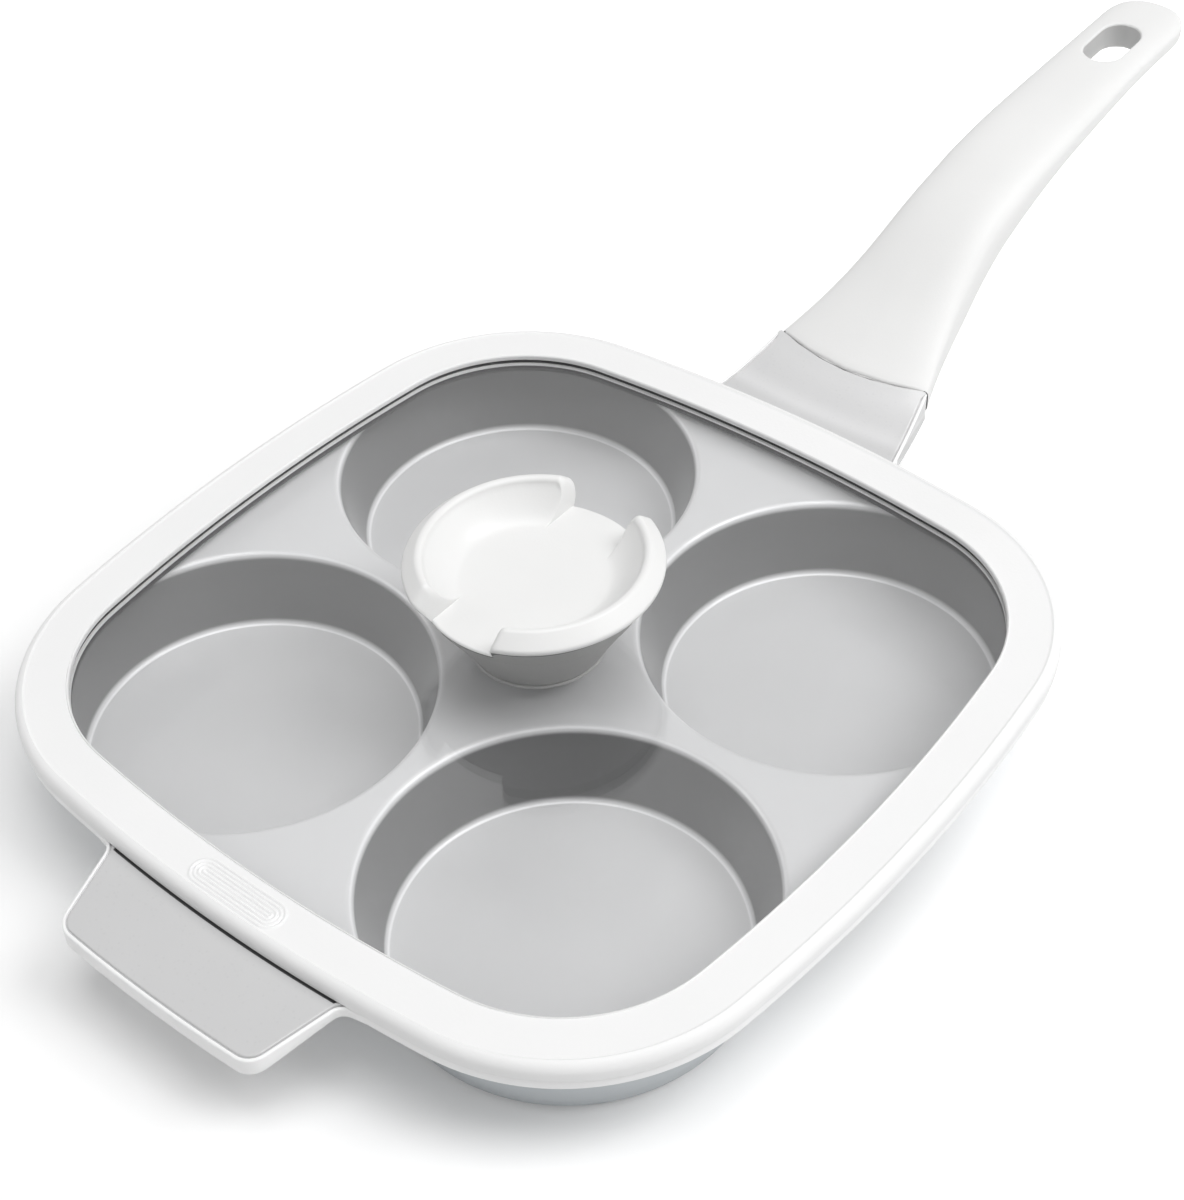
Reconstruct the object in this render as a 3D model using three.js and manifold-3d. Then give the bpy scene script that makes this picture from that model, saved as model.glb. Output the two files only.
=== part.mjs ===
// A four-cup egg pan with a flat glass lid, in millimetres, +Z up, the handle along +Y.
// The origin is on the table, under the middle of the pan's overall box.
import * as THREE from 'three';
import { mergeVertices } from 'three/addons/utils/BufferGeometryUtils.js';
import Module from 'manifold-3d';

const wasm = await Module();
wasm.setup();

// Cups
const CUP_MOUTH_RADIUS = 52.8;
const CUP_DEPTH = 21.5;
const CUP_WALL_LEAN = 5.9;
const CUP_FLOOR_FILLET = 3.5;
const CUP_LIP_ROUND = 0.8;
const CUP_LAND = 7.2;
const CUP_WALL = 2.4;
const CUP_FLOOR = 2.2;
const CUP_FOOT_ROUND = 7;

// Steel discs under the cups
const DISC_RADIUS = 40;
const DISC_THICKNESS = 1;
const DISC_PROUD = 0.4;

// Deck and flange
const DECK_DROP = 3.8;
const DECK_THICKNESS = 3;
const DECK_MARGIN = 1.2;
const TRAY_WALL = 2.2;
const FLANGE_WIDTH = 5.8;
const FLANGE_THICKNESS = 3.4;
const SIDE_BOW_RADIUS = 533;

// Helper tab
const TAB_ROOT_HALF_WIDTH = 40;
const TAB_END_HALF_WIDTH = 33.5;
const TAB_LENGTH = 23.5;
const TAB_DROP = 3;
const TAB_THICKNESS = 5.8;
const TAB_END_BOW = 1;
const TAB_ROOT_FILLET = 4;
const TAB_CORNER_RADIUS = 6.5;

// Handle lug and the tongue that enters the grip
const LUG_ROOT_HALF_WIDTH = 32.6;
const LUG_JOINT_HALF_WIDTH = 26.7;
const LUG_LENGTH = 27;
const LUG_RISE = 8.6;
const LUG_START_SLOPE = 0.16;
const LUG_JOINT_DEPTH = 10;
const LUG_STANDOFF = 0.6;
const JOINT_BOW = 3;
const JOINT_GAP = 0.4;
const TONGUE_WIDTH = 22;
const TONGUE_THICKNESS = 4.5;
const TONGUE_ROOT = 1;
const TONGUE_LENGTH = 38;
const TONGUE_ROOF = 2.6;

// Handle grip
const GRIP_LENGTH = 173;
const GRIP_RISE = 42.6;
const GRIP_START_REACH_SHARE = 0.37;
const GRIP_START_SLOPE = 0.47;
const GRIP_END_REACH_SHARE = 0.84;
const GRIP_END_SLOPE = 0.056;
const GRIP_HALF_WIDTH = 15.6;
const GRIP_FLARE_LENGTH = 62;
const GRIP_BELLY_DEPTH = 18.8;
const GRIP_BELLY_DISTANCE = 38;
const GRIP_DEPTH = 9.8;
const GRIP_TIP_ROUND = 14.5;
const GRIP_TIP_FLAT = 0.14;
const GRIP_TIP_THINNING = 0.6;
const HANG_HOLE_LENGTH = 22;
const HANG_HOLE_WIDTH = 13;
const HANG_HOLE_MARGIN = 20;

// Handle screws, driven up from below
const HANDLE_SCREW_RADIUS = 2;
const HANDLE_SCREW_HEAD_RADIUS = 4;
const HANDLE_SCREW_HEAD_HEIGHT = 2.2;
const HANDLE_SCREW_FIRST = 14;
const HANDLE_SCREW_SPACING = 14;
const HANDLE_WASHER_RADIUS = 4.5;
const HANDLE_WASHER_THICKNESS = 0.8;
const HANDLE_SCREW_SEAT = 2.2;

// Lid
const LID_OVERHANG = 0.4;
const RIM_SKIRT_HEIGHT = 5.1;
const RIM_TOP_ROUND = 3;
const RIM_BOTTOM_ROUND = 1;
const LIP_WIDTH = 14.6;
const LIP_THICKNESS = 1.4;
const LIP_EDGE_ROUND = 0.7;
const PLUG_CLEARANCE = 0.8;
const PLUG_WALL = 1.7;
const PLUG_LIP_THICKNESS = 2.4;
const GLASS_THICKNESS = 3.2;

// Knob, with its heights measured from the lid's top
const KNOB_HEIGHT = 30.6;
const DISH_RADIUS = 34.4;
const DISH_EDGE_DROP = 3.8;
const DISH_EDGE_HEIGHT = 1.6;
const DISH_FLOOR_RADIUS = 22.6;
const DISH_FLOOR_DROP = 9.6;
const DISH_FLOOR_DIP = 0.4;
const DISH_FLOOR_THICKNESS = 2.8;
const CREST_RADIUS = 30;
const CREST_ROUND = 1.4;
const CREST_GAP_ANGLE = 38;
const CREST_BACK_ANGLE = 36;
const CREST_SAG = 0.4;
const STEM_TOP_RADIUS = 29.2;
const STEM_BASE_RADIUS = 18.2;
const STEM_SAG = 0.46;
const BOSS_RADIUS = 8;
const BOSS_LENGTH = 10;
const INSERT_RADIUS = 4;
const INSERT_LENGTH = 8;
const SEAT_RING_THICKNESS = 1;
const SEAT_RING_LAP = 0.6;
const KNOB_SCREW_RADIUS = 2.4;
const KNOB_SCREW_GRIP = 6;
const KNOB_SCREW_HEAD_RADIUS = 5;
const KNOB_SCREW_HEAD_HEIGHT = 1.4;
const KNOB_WASHER_RADIUS = 7.5;
const KNOB_WASHER_THICKNESS = 0.6;
const UNDER_RING_RADIUS = 9;
const UNDER_RING_THICKNESS = 0.8;

// Clearances
const FIT_GAP = 0.3;
const SEAT_GAP = 0.1;
const SCREW_CLEARANCE = 0.5;

// Fineness of the faceted curves
const CUP_STEPS = 40;
const ROUND_STEPS = 28;
const FILLET_STEPS = 3;
const BOW_STEPS = 6;
const CORNER_STEPS = 10;
const SECTION_STEPS = 28;
const GRIP_STEPS = 26;
const GRIP_CURVE_STEPS = 208;
const LUG_STEPS = 6;

// Squareness of the rounded sections: 2 is an ellipse, higher is squarer
const FLANGE_SQUARENESS = 9;
const TAB_TOP_SQUARENESS = 14;
const TAB_BOTTOM_SQUARENESS = 6;
const JOINT_TOP_SQUARENESS = 7;
const JOINT_BOTTOM_SQUARENESS = 5;
const GRIP_TOP_SQUARENESS = 2.8;
const GRIP_BOTTOM_SQUARENESS = 2.2;

// Levels above the table
const cupFloorZ = DISC_THICKNESS + SEAT_GAP + CUP_FLOOR;
const deckZ = cupFloorZ + CUP_DEPTH;
const flangeTopZ = deckZ + DECK_DROP;
const flangeBottomZ = flangeTopZ - FLANGE_THICKNESS;
const deckBottomZ = deckZ - DECK_THICKNESS;
const lidSeatZ = flangeTopZ + FIT_GAP;
const lidTopZ = lidSeatZ + RIM_SKIRT_HEIGHT;
const glassTopZ = lidTopZ - LIP_THICKNESS - FIT_GAP;
const glassBottomZ = glassTopZ - GLASS_THICKNESS;

// The pan's outline is a rounded square: corners concentric with the cups, sides slightly bowed
const cupOffset = CUP_MOUTH_RADIUS + CUP_LAND / 2;
const trayInset = LID_OVERHANG + FLANGE_WIDTH;
const lidCornerRadius = CUP_MOUTH_RADIUS + DECK_MARGIN + trayInset;
const bowToCorner = SIDE_BOW_RADIUS - lidCornerRadius;
const bowHalfAngle = Math.asin(cupOffset / bowToCorner);
const bowCentre = cupOffset - bowToCorner * Math.cos(bowHalfAngle);
const lidReach = bowCentre + SIDE_BOW_RADIUS;
const flangeReach = lidReach - LID_OVERHANG;
const jointY = lidReach + LUG_LENGTH;
const tipY = jointY + GRIP_LENGTH;
const tabEndY = -flangeReach - TAB_LENGTH - TAB_END_BOW;

const cupCentres = [];
for (const x of [-cupOffset, cupOffset]) {
  for (const y of [-cupOffset, cupOffset]) {
    cupCentres.push(new THREE.Vector2(x, y));
  }
}

// Turns a closed geometry into a solid whose faces point out
function toSolid(geometry) {
  const bare = geometry.index ? geometry.clone() : geometry;
  bare.deleteAttribute('normal');
  bare.deleteAttribute('uv');
  const merged = mergeVertices(bare);
  const corners = merged.index.array;
  const position = merged.attributes.position;
  const points = [0, 1, 2].map(() => new THREE.Vector3());
  const triangles = [];
  let volume = 0;
  for (let i = 0; i < corners.length; i += 3) {
    const [a, b, c] = corners.slice(i, i + 3);
    if (a === b || b === c || c === a) continue;
    [a, b, c].forEach((corner, n) => points[n].fromBufferAttribute(position, corner));
    volume += points[0].dot(points[1].cross(points[2]));
    triangles.push([a, b, c]);
  }
  const outward = volume > 0 ? triangles : triangles.map(([a, b, c]) => [a, c, b]);
  return new wasm.Manifold(new wasm.Mesh({
    numProp: 3,
    vertProperties: new Float32Array(position.array),
    triVerts: new Uint32Array(outward.flat()),
  }));
}

function toGeometry(solid) {
  const mesh = solid.getMesh();
  const geometry = new THREE.BufferGeometry();
  geometry.setAttribute('position', new THREE.BufferAttribute(mesh.vertProperties, 3));
  geometry.setIndex(new THREE.BufferAttribute(mesh.triVerts, 1));
  geometry.computeVertexNormals();
  return geometry;
}

// Points along an arc, without its last point
function arc(x, y, radius, from, to, steps) {
  const points = [];
  for (let i = 0; i < steps; i += 1) {
    const angle = from + ((to - from) * i) / steps;
    points.push(new THREE.Vector2(x + radius * Math.cos(angle), y + radius * Math.sin(angle)));
  }
  return points;
}

const quarter = Math.PI / 2;

function pairs(points) {
  return points.map(({ x, y }) => [x, y]);
}

function outline(inset) {
  const points = [];
  const origin = new THREE.Vector2();
  for (let side = 0; side < 4; side += 1) {
    const facing = side * quarter;
    const bow = new THREE.Vector2(bowCentre, 0).rotateAround(origin, facing);
    const corner = new THREE.Vector2(cupOffset, cupOffset).rotateAround(origin, facing);
    const turn = facing + bowHalfAngle;
    const next = facing + quarter - bowHalfAngle;
    points.push(...arc(bow.x, bow.y, SIDE_BOW_RADIUS - inset, facing - bowHalfAngle, turn, BOW_STEPS));
    points.push(...arc(corner.x, corner.y, lidCornerRadius - inset, turn, next, CORNER_STEPS));
  }
  return points;
}

// A slab of the pan's outline, drawn in by inset
function slab(inset, bottom, top, hole) {
  const shape = new THREE.Shape(outline(inset));
  if (hole) shape.holes.push(new THREE.Path(arc(0, 0, hole, 0, 2 * Math.PI, ROUND_STEPS)));
  const geometry = new THREE.ExtrudeGeometry(shape, { depth: top - bottom, bevelEnabled: false });
  return toSolid(geometry.translate(0, 0, bottom));
}

// A closed profile of radius and height, turned round the Z axis
function turned(profile, steps = ROUND_STEPS) {
  const closed = [...profile, profile[0]].map(([r, z]) => new THREE.Vector2(r, z));
  return toSolid(new THREE.LatheGeometry(closed, steps).rotateX(quarter));
}

function cylinder(radius, bottom, top, steps) {
  return turned([[0, bottom], [radius, bottom], [radius, top], [0, top]], steps);
}

function tube(inner, outer, bottom, top) {
  return turned([[inner, bottom], [outer, bottom], [outer, top], [inner, top]]);
}

// Joins rings of points, each a list of Vector3 of one length, into one closed skin
function skin(rings, closedAlong) {
  const across = rings[0].length;
  const vertices = rings.flat();
  const indices = [];
  const quad = (a, b, c, d) => indices.push(a, b, c, a, c, d);
  const bands = closedAlong ? rings.length : rings.length - 1;
  for (let i = 0; i < bands; i += 1) {
    const here = i * across;
    const there = ((i + 1) % rings.length) * across;
    for (let j = 0; j < across; j += 1) {
      const next = (j + 1) % across;
      quad(here + j, there + j, there + next, here + next);
    }
  }
  if (!closedAlong) {
    for (const [ring, flip] of [[0, false], [rings.length - 1, true]]) {
      const centre = new THREE.Vector3();
      rings[ring].forEach((point) => centre.addScaledVector(point, 1 / across));
      const hub = vertices.push(centre) - 1;
      for (let j = 0; j < across; j += 1) {
        const edge = [ring * across + j, ring * across + ((j + 1) % across)];
        indices.push(hub, ...(flip ? edge.reverse() : edge));
      }
    }
  }
  const geometry = new THREE.BufferGeometry().setFromPoints(vertices);
  geometry.setIndex(indices);
  return toSolid(geometry);
}

// A ring round the lid: each profile point is an inset from the lid's edge and a height
function ringRound(profile) {
  const ringAt = ([inset, z]) => outline(inset).map(({ x, y }) => new THREE.Vector3(x, y, z));
  return skin(profile.map(ringAt), true);
}

// One rounded section across the handle: higher powers give squarer edges
function section({ y, halfWidth, top, depth, topPower, bottomPower, bow = 0 }) {
  const points = [];
  for (let i = 0; i < SECTION_STEPS; i += 1) {
    const angle = (2 * Math.PI * i) / SECTION_STEPS;
    const c = Math.cos(angle);
    const s = Math.sin(angle);
    const power = 2 / (s > 0 ? topPower : bottomPower);
    const x = halfWidth * Math.sign(c) * Math.abs(c) ** power;
    const z = top - depth / 2 + (depth / 2) * Math.sign(s) * Math.abs(s) ** power;
    points.push(new THREE.Vector3(x, y - bow * (1 - (x / halfWidth) ** 2), z));
  }
  return points;
}

function pick(from, to, share) {
  return from + (to - from) * share;
}

// Pan casting

const lugStartY = lidReach + LUG_STANDOFF;
const lugRun = jointY - lugStartY;
const lugCurve = (LUG_RISE - LUG_START_SLOPE * lugRun) / lugRun ** 2;
const jointTopZ = flangeTopZ + LUG_RISE;

function lugSolid() {
  const rootY = flangeReach - FLANGE_WIDTH;
  const rings = [section({
    y: rootY,
    halfWidth: LUG_ROOT_HALF_WIDTH,
    top: flangeTopZ,
    depth: FLANGE_THICKNESS,
    topPower: FLANGE_SQUARENESS,
    bottomPower: FLANGE_SQUARENESS,
  })];
  for (let i = 0; i <= LUG_STEPS; i += 1) {
    const share = i / LUG_STEPS;
    const run = share * lugRun;
    rings.push(section({
      y: lugStartY + run,
      halfWidth: pick(LUG_ROOT_HALF_WIDTH, LUG_JOINT_HALF_WIDTH, share),
      top: flangeTopZ + LUG_START_SLOPE * run + lugCurve * run ** 2,
      depth: pick(FLANGE_THICKNESS, LUG_JOINT_DEPTH, share),
      topPower: pick(FLANGE_SQUARENESS, JOINT_TOP_SQUARENESS, share),
      bottomPower: pick(FLANGE_SQUARENESS, JOINT_BOTTOM_SQUARENESS, share),
      bow: JOINT_BOW * share,
    }));
  }
  return skin(rings, false);
}

// Half-width of the tab at a distance out from the flange: filleted root, leaning side, rounded corner
function tabHalfWidth(out) {
  const lean = pick(TAB_ROOT_HALF_WIDTH, TAB_END_HALF_WIDTH, out / TAB_LENGTH);
  const rootLeft = Math.max(0, 1 - out / TAB_ROOT_FILLET);
  const intoCorner = Math.max(0, out - TAB_LENGTH + TAB_CORNER_RADIUS);
  const drawnIn = TAB_CORNER_RADIUS - Math.sqrt(TAB_CORNER_RADIUS ** 2 - intoCorner ** 2);
  return lean + TAB_ROOT_FILLET * rootLeft ** 2 - drawnIn;
}

function tabSolid() {
  const outs = [-FLANGE_WIDTH];
  for (let i = 0; i < FILLET_STEPS; i += 1) outs.push((TAB_ROOT_FILLET * i) / FILLET_STEPS);
  outs.push(TAB_ROOT_FILLET);
  for (let i = 0; i <= FILLET_STEPS; i += 1) {
    const turn = (quarter * i) / FILLET_STEPS;
    outs.push(TAB_LENGTH - TAB_CORNER_RADIUS * (1 - Math.sin(turn)));
  }
  return skin(outs.map((out) => {
    const beyond = Math.max(0, out);
    const share = beyond / TAB_LENGTH;
    return section({
      y: -flangeReach - out,
      halfWidth: tabHalfWidth(beyond),
      top: flangeTopZ - TAB_DROP * share,
      depth: pick(FLANGE_THICKNESS, TAB_THICKNESS, share),
      topPower: TAB_TOP_SQUARENESS,
      bottomPower: TAB_BOTTOM_SQUARENESS,
      bow: TAB_END_BOW * share,
    });
  }), false);
}

function cupOuter() {
  const footRadius = CUP_MOUTH_RADIUS - CUP_WALL_LEAN + CUP_WALL;
  const roundTopZ = DISC_PROUD + CUP_FOOT_ROUND;
  const roundCentre = footRadius - CUP_FOOT_ROUND;
  const round = arc(roundCentre, roundTopZ, CUP_FOOT_ROUND, -quarter, 0, FILLET_STEPS);
  return turned([
    [0, DISC_PROUD],
    ...pairs(round),
    [footRadius, roundTopZ],
    [CUP_MOUTH_RADIUS + CUP_WALL, deckBottomZ],
    [CUP_MOUTH_RADIUS + CUP_WALL, deckZ - CUP_LIP_ROUND],
    [0, deckZ - CUP_LIP_ROUND],
  ], CUP_STEPS);
}

function cupInner() {
  const floorRadius = CUP_MOUTH_RADIUS - CUP_WALL_LEAN;
  const filletTopZ = cupFloorZ + CUP_FLOOR_FILLET;
  const filletCentre = floorRadius - CUP_FLOOR_FILLET;
  const fillet = arc(filletCentre, filletTopZ, CUP_FLOOR_FILLET, -quarter, 0, FILLET_STEPS);
  return turned([
    [0, cupFloorZ],
    ...pairs(fillet),
    [floorRadius, filletTopZ],
    [CUP_MOUTH_RADIUS, deckZ - CUP_LIP_ROUND],
    [CUP_MOUTH_RADIUS + CUP_LIP_ROUND, deckZ],
    [CUP_MOUTH_RADIUS + CUP_LIP_ROUND, deckZ + FIT_GAP],
    [0, deckZ + FIT_GAP],
  ], CUP_STEPS);
}

// The tongue rises in a straight line under the grip's top
const gripStartReach = GRIP_START_REACH_SHARE * GRIP_LENGTH;
const gripEndReach = GRIP_END_REACH_SHARE * GRIP_LENGTH;
const gripTipTopZ = jointTopZ + GRIP_RISE;
const gripTop = new THREE.CubicBezierCurve(
  new THREE.Vector2(jointY, jointTopZ),
  new THREE.Vector2(jointY + gripStartReach, jointTopZ + gripStartReach * GRIP_START_SLOPE),
  new THREE.Vector2(tipY - gripEndReach, gripTipTopZ - gripEndReach * GRIP_END_SLOPE),
  new THREE.Vector2(tipY, gripTipTopZ),
);
const gripTopPoints = gripTop.getPoints(GRIP_CURVE_STEPS);

function gripTopAt(y) {
  const after = Math.max(1, gripTopPoints.findIndex((point) => point.x >= y));
  const [a, b] = [gripTopPoints[after - 1], gripTopPoints[after]];
  return pick(a.y, b.y, (y - a.x) / (b.x - a.x));
}

const tongueEndY = jointY + TONGUE_LENGTH;
const tongueDrop = TONGUE_ROOF + FIT_GAP;
const tongueSlope = (gripTopAt(tongueEndY) - jointTopZ) / TONGUE_LENGTH;

function tongueTopAt(y) {
  return jointTopZ - tongueDrop - JOINT_BOW * GRIP_START_SLOPE / 2 + tongueSlope * (y - jointY);
}

// The tongue with its sides let out by gap, from startY to its end
function tongueBar(startY, gap) {
  const half = TONGUE_WIDTH / 2 + gap;
  const below = -TONGUE_THICKNESS - gap;
  const corners = [[-half, below], [half, below], [half, gap], [-half, gap]];
  const ring = (y) => corners.map(([x, z]) => new THREE.Vector3(x, y, tongueTopAt(y) + z));
  return skin([ring(startY), ring(tongueEndY + gap)], false);
}

const handleScrewYs = [0, 1].map((n) => jointY + HANDLE_SCREW_FIRST + n * HANDLE_SCREW_SPACING);
const handleSeatZ = (y) => tongueTopAt(y) - TONGUE_THICKNESS - FIT_GAP - HANDLE_SCREW_SEAT;
const handleWasherTopZ = (y) => handleSeatZ(y) - SEAT_GAP;
const handleHeadTopZ = (y) => handleWasherTopZ(y) - HANDLE_WASHER_THICKNESS - SEAT_GAP;

function panCasting() {
  const tongueRootY = jointY - JOINT_BOW - TONGUE_ROOT;
  let body = slab(LID_OVERHANG, flangeBottomZ, flangeTopZ)
    .add(slab(trayInset - TRAY_WALL, deckBottomZ, flangeTopZ - FLANGE_THICKNESS / 2))
    .add(tabSolid())
    .add(lugSolid())
    .add(tongueBar(tongueRootY, 0));
  const outer = cupOuter();
  for (const { x, y } of cupCentres) body = body.add(outer.translate(x, y, 0));
  body = body.subtract(slab(trayInset, deckZ, flangeTopZ + FIT_GAP));
  const inner = cupInner();
  const recessTopZ = DISC_THICKNESS + SEAT_GAP;
  const recess = cylinder(DISC_RADIUS + FIT_GAP, DISC_PROUD - FIT_GAP, recessTopZ, CUP_STEPS);
  for (const { x, y } of cupCentres) {
    body = body.subtract(inner.translate(x, y, 0)).subtract(recess.translate(x, y, 0));
  }
  for (const y of handleScrewYs) {
    const hole = cylinder(HANDLE_SCREW_RADIUS + FIT_GAP, handleSeatZ(y), tongueTopAt(y) + TONGUE_THICKNESS);
    body = body.subtract(hole.translate(0, y, 0));
  }
  return body;
}

// Handle grip

function gripDepthAt(along) {
  const swell = Math.min(1, along / GRIP_BELLY_DISTANCE);
  const fall = Math.min(1, Math.max(0, (along - GRIP_BELLY_DISTANCE) / GRIP_FLARE_LENGTH));
  const ease = (share) => share * share * (3 - 2 * share);
  return pick(pick(LUG_JOINT_DEPTH, GRIP_BELLY_DEPTH, ease(swell)), GRIP_DEPTH, ease(fall));
}

function gripSolid() {
  const rings = [];
  for (let i = 0; i <= GRIP_STEPS; i += 1) {
    // Stations crowd towards the round tip
    const along = JOINT_GAP + (GRIP_LENGTH - JOINT_GAP) * Math.sin((quarter * i) / GRIP_STEPS);
    const flare = Math.max(0, 1 - along / GRIP_FLARE_LENGTH);
    const intoTip = Math.max(0, along - GRIP_LENGTH + GRIP_TIP_ROUND) / GRIP_TIP_ROUND;
    const plan = Math.max(GRIP_TIP_FLAT, Math.sqrt(1 - intoTip ** 2));
    const drawnIn = (1 - plan) * GRIP_TIP_THINNING;
    const depth = gripDepthAt(along);
    rings.push(section({
      y: jointY + along,
      halfWidth: pick(GRIP_HALF_WIDTH, LUG_JOINT_HALF_WIDTH, flare ** 2) * plan,
      top: gripTopAt(jointY + along) - (depth / 2) * drawnIn,
      depth: depth * (1 - drawnIn),
      topPower: pick(GRIP_TOP_SQUARENESS, JOINT_TOP_SQUARENESS, flare),
      bottomPower: pick(GRIP_BOTTOM_SQUARENESS, JOINT_BOTTOM_SQUARENESS, flare),
      bow: JOINT_BOW * flare,
    }));
  }
  return skin(rings, false);
}

const hangHoleY = tipY - HANG_HOLE_MARGIN - HANG_HOLE_LENGTH / 2;

function hangHole() {
  const radius = HANG_HOLE_WIDTH / 2;
  const straight = HANG_HOLE_LENGTH / 2 - radius;
  const shape = new THREE.Shape([
    ...arc(0, straight, radius, 0, Math.PI, ROUND_STEPS / 2),
    ...arc(0, -straight, radius, Math.PI, 2 * Math.PI, ROUND_STEPS / 2),
  ]);
  const middle = gripTopAt(hangHoleY) - GRIP_DEPTH / 2;
  const geometry = new THREE.ExtrudeGeometry(shape, { depth: 2 * GRIP_DEPTH, bevelEnabled: false });
  return toSolid(geometry.translate(0, hangHoleY, middle - GRIP_DEPTH));
}

function handleGrip() {
  const socket = tongueBar(jointY - JOINT_BOW - LUG_JOINT_DEPTH, FIT_GAP);
  let grip = gripSolid().subtract(hangHole()).subtract(socket);
  for (const y of handleScrewYs) {
    const below = gripTopAt(y) - 2 * GRIP_BELLY_DEPTH;
    const shank = cylinder(HANDLE_SCREW_RADIUS + SCREW_CLEARANCE, below, tongueTopAt(y));
    const head = cylinder(HANDLE_WASHER_RADIUS + SCREW_CLEARANCE, below, handleSeatZ(y));
    grip = grip.subtract(shank.translate(0, y, 0)).subtract(head.translate(0, y, 0));
  }
  return grip;
}

// A screw standing head down, with its head's top at the given level
function screw(radius, headRadius, headHeight, headTop, tip) {
  const crown = headHeight / 3;
  return turned([
    [0, headTop - headHeight],
    [headRadius - crown, headTop - headHeight],
    [headRadius, headTop - headHeight + crown],
    [headRadius, headTop],
    [radius, headTop],
    [radius, tip - radius / 2],
    [radius / 2, tip],
    [0, tip],
  ], ROUND_STEPS / 2);
}

function handleScrew(y) {
  const headTop = handleHeadTopZ(y);
  const tip = tongueTopAt(y) - SCREW_CLEARANCE;
  return screw(HANDLE_SCREW_RADIUS, HANDLE_SCREW_HEAD_RADIUS, HANDLE_SCREW_HEAD_HEIGHT, headTop, tip)
    .translate(0, y, 0);
}

function handleWasher(y) {
  const top = handleWasherTopZ(y);
  const bore = HANDLE_SCREW_RADIUS + FIT_GAP;
  return tube(bore, HANDLE_WASHER_RADIUS, top - HANDLE_WASHER_THICKNESS, top).translate(0, y, 0);
}

// Lid: the silicone ring grips the glass and plugs into the pan's recess

const plugInset = trayInset + PLUG_CLEARANCE;
const slotInset = plugInset + PLUG_WALL;
const glassHole = KNOB_SCREW_RADIUS + 2 * SCREW_CLEARANCE;

function lidRim() {
  const slotBottomZ = glassBottomZ - FIT_GAP;
  const plugBottomZ = slotBottomZ - PLUG_LIP_THICKNESS;
  const roundAt = (inset, z, radius, from, to) => pairs(arc(inset, z, radius, from, to, FILLET_STEPS));
  const lipRoundZ = lidTopZ - LIP_EDGE_ROUND;
  return ringRound([
    [plugInset, lidSeatZ],
    ...roundAt(RIM_BOTTOM_ROUND, lidSeatZ + RIM_BOTTOM_ROUND, RIM_BOTTOM_ROUND, -quarter, -Math.PI),
    [0, lidSeatZ + RIM_BOTTOM_ROUND],
    ...roundAt(RIM_TOP_ROUND, lidTopZ - RIM_TOP_ROUND, RIM_TOP_ROUND, Math.PI, quarter),
    [RIM_TOP_ROUND, lidTopZ],
    ...roundAt(LIP_WIDTH - LIP_EDGE_ROUND, lipRoundZ, LIP_EDGE_ROUND, quarter, 0),
    [LIP_WIDTH, lipRoundZ],
    [LIP_WIDTH, lidTopZ - LIP_THICKNESS],
    [slotInset, lidTopZ - LIP_THICKNESS],
    [slotInset, slotBottomZ],
    [LIP_WIDTH, slotBottomZ],
    [LIP_WIDTH, plugBottomZ],
    [plugInset, plugBottomZ],
  ]);
}

function lidGlass() {
  return slab(slotInset + FIT_GAP, glassBottomZ, glassTopZ, glassHole);
}

// Knob, clamped on the glass by a screw from below

const crestZ = lidTopZ + KNOB_HEIGHT;
const dishEdgeZ = crestZ - DISH_EDGE_DROP;
const dishFloorZ = crestZ - DISH_FLOOR_DROP;
const dishBottomZ = dishFloorZ - DISH_FLOOR_DIP - DISH_FLOOR_THICKNESS;
const bossBottomZ = dishBottomZ - BOSS_LENGTH;
const insertBottomZ = bossBottomZ + SEAT_GAP;
const seatRingBottomZ = glassTopZ + SEAT_GAP;
const stemBottomZ = seatRingBottomZ + SEAT_RING_THICKNESS + SEAT_GAP;
const underRingTopZ = glassBottomZ - SEAT_GAP;
const knobWasherTopZ = underRingTopZ - UNDER_RING_THICKNESS - SEAT_GAP;
const knobHeadTopZ = knobWasherTopZ - KNOB_WASHER_THICKNESS - SEAT_GAP;

function knobDish() {
  const crestInnerRadius = CREST_RADIUS - CREST_ROUND;
  const crestRoundZ = crestZ - CREST_ROUND;
  const crestStart = THREE.MathUtils.degToRad(CREST_BACK_ANGLE);
  const crest = arc(CREST_RADIUS, crestRoundZ, CREST_ROUND, crestStart, Math.PI, 2 * FILLET_STEPS);
  const dish = turned([
    [0, insertBottomZ + INSERT_LENGTH + FIT_GAP],
    [INSERT_RADIUS + FIT_GAP, insertBottomZ + INSERT_LENGTH + FIT_GAP],
    [INSERT_RADIUS + FIT_GAP, bossBottomZ],
    [BOSS_RADIUS, bossBottomZ],
    [BOSS_RADIUS, dishBottomZ],
    [STEM_TOP_RADIUS, dishBottomZ],
    [DISH_RADIUS - DISH_EDGE_HEIGHT, dishEdgeZ - DISH_EDGE_HEIGHT],
    [DISH_RADIUS, dishEdgeZ - DISH_EDGE_HEIGHT / 3],
    [DISH_RADIUS, dishEdgeZ],
    ...pairs(crest),
    [crestInnerRadius, crestRoundZ],
    [pick(DISH_FLOOR_RADIUS, crestInnerRadius, 0.5), pick(dishFloorZ, crestRoundZ, CREST_SAG)],
    [DISH_FLOOR_RADIUS, dishFloorZ],
    [DISH_FLOOR_RADIUS / 2, dishFloorZ - pick(DISH_FLOOR_DIP, 0, 1 / 4)],
    [0, dishFloorZ - DISH_FLOOR_DIP],
  ], CUP_STEPS);
  return dish.subtract(crestGap()).subtract(crestGap().rotate(0, 0, 180));
}

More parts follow.
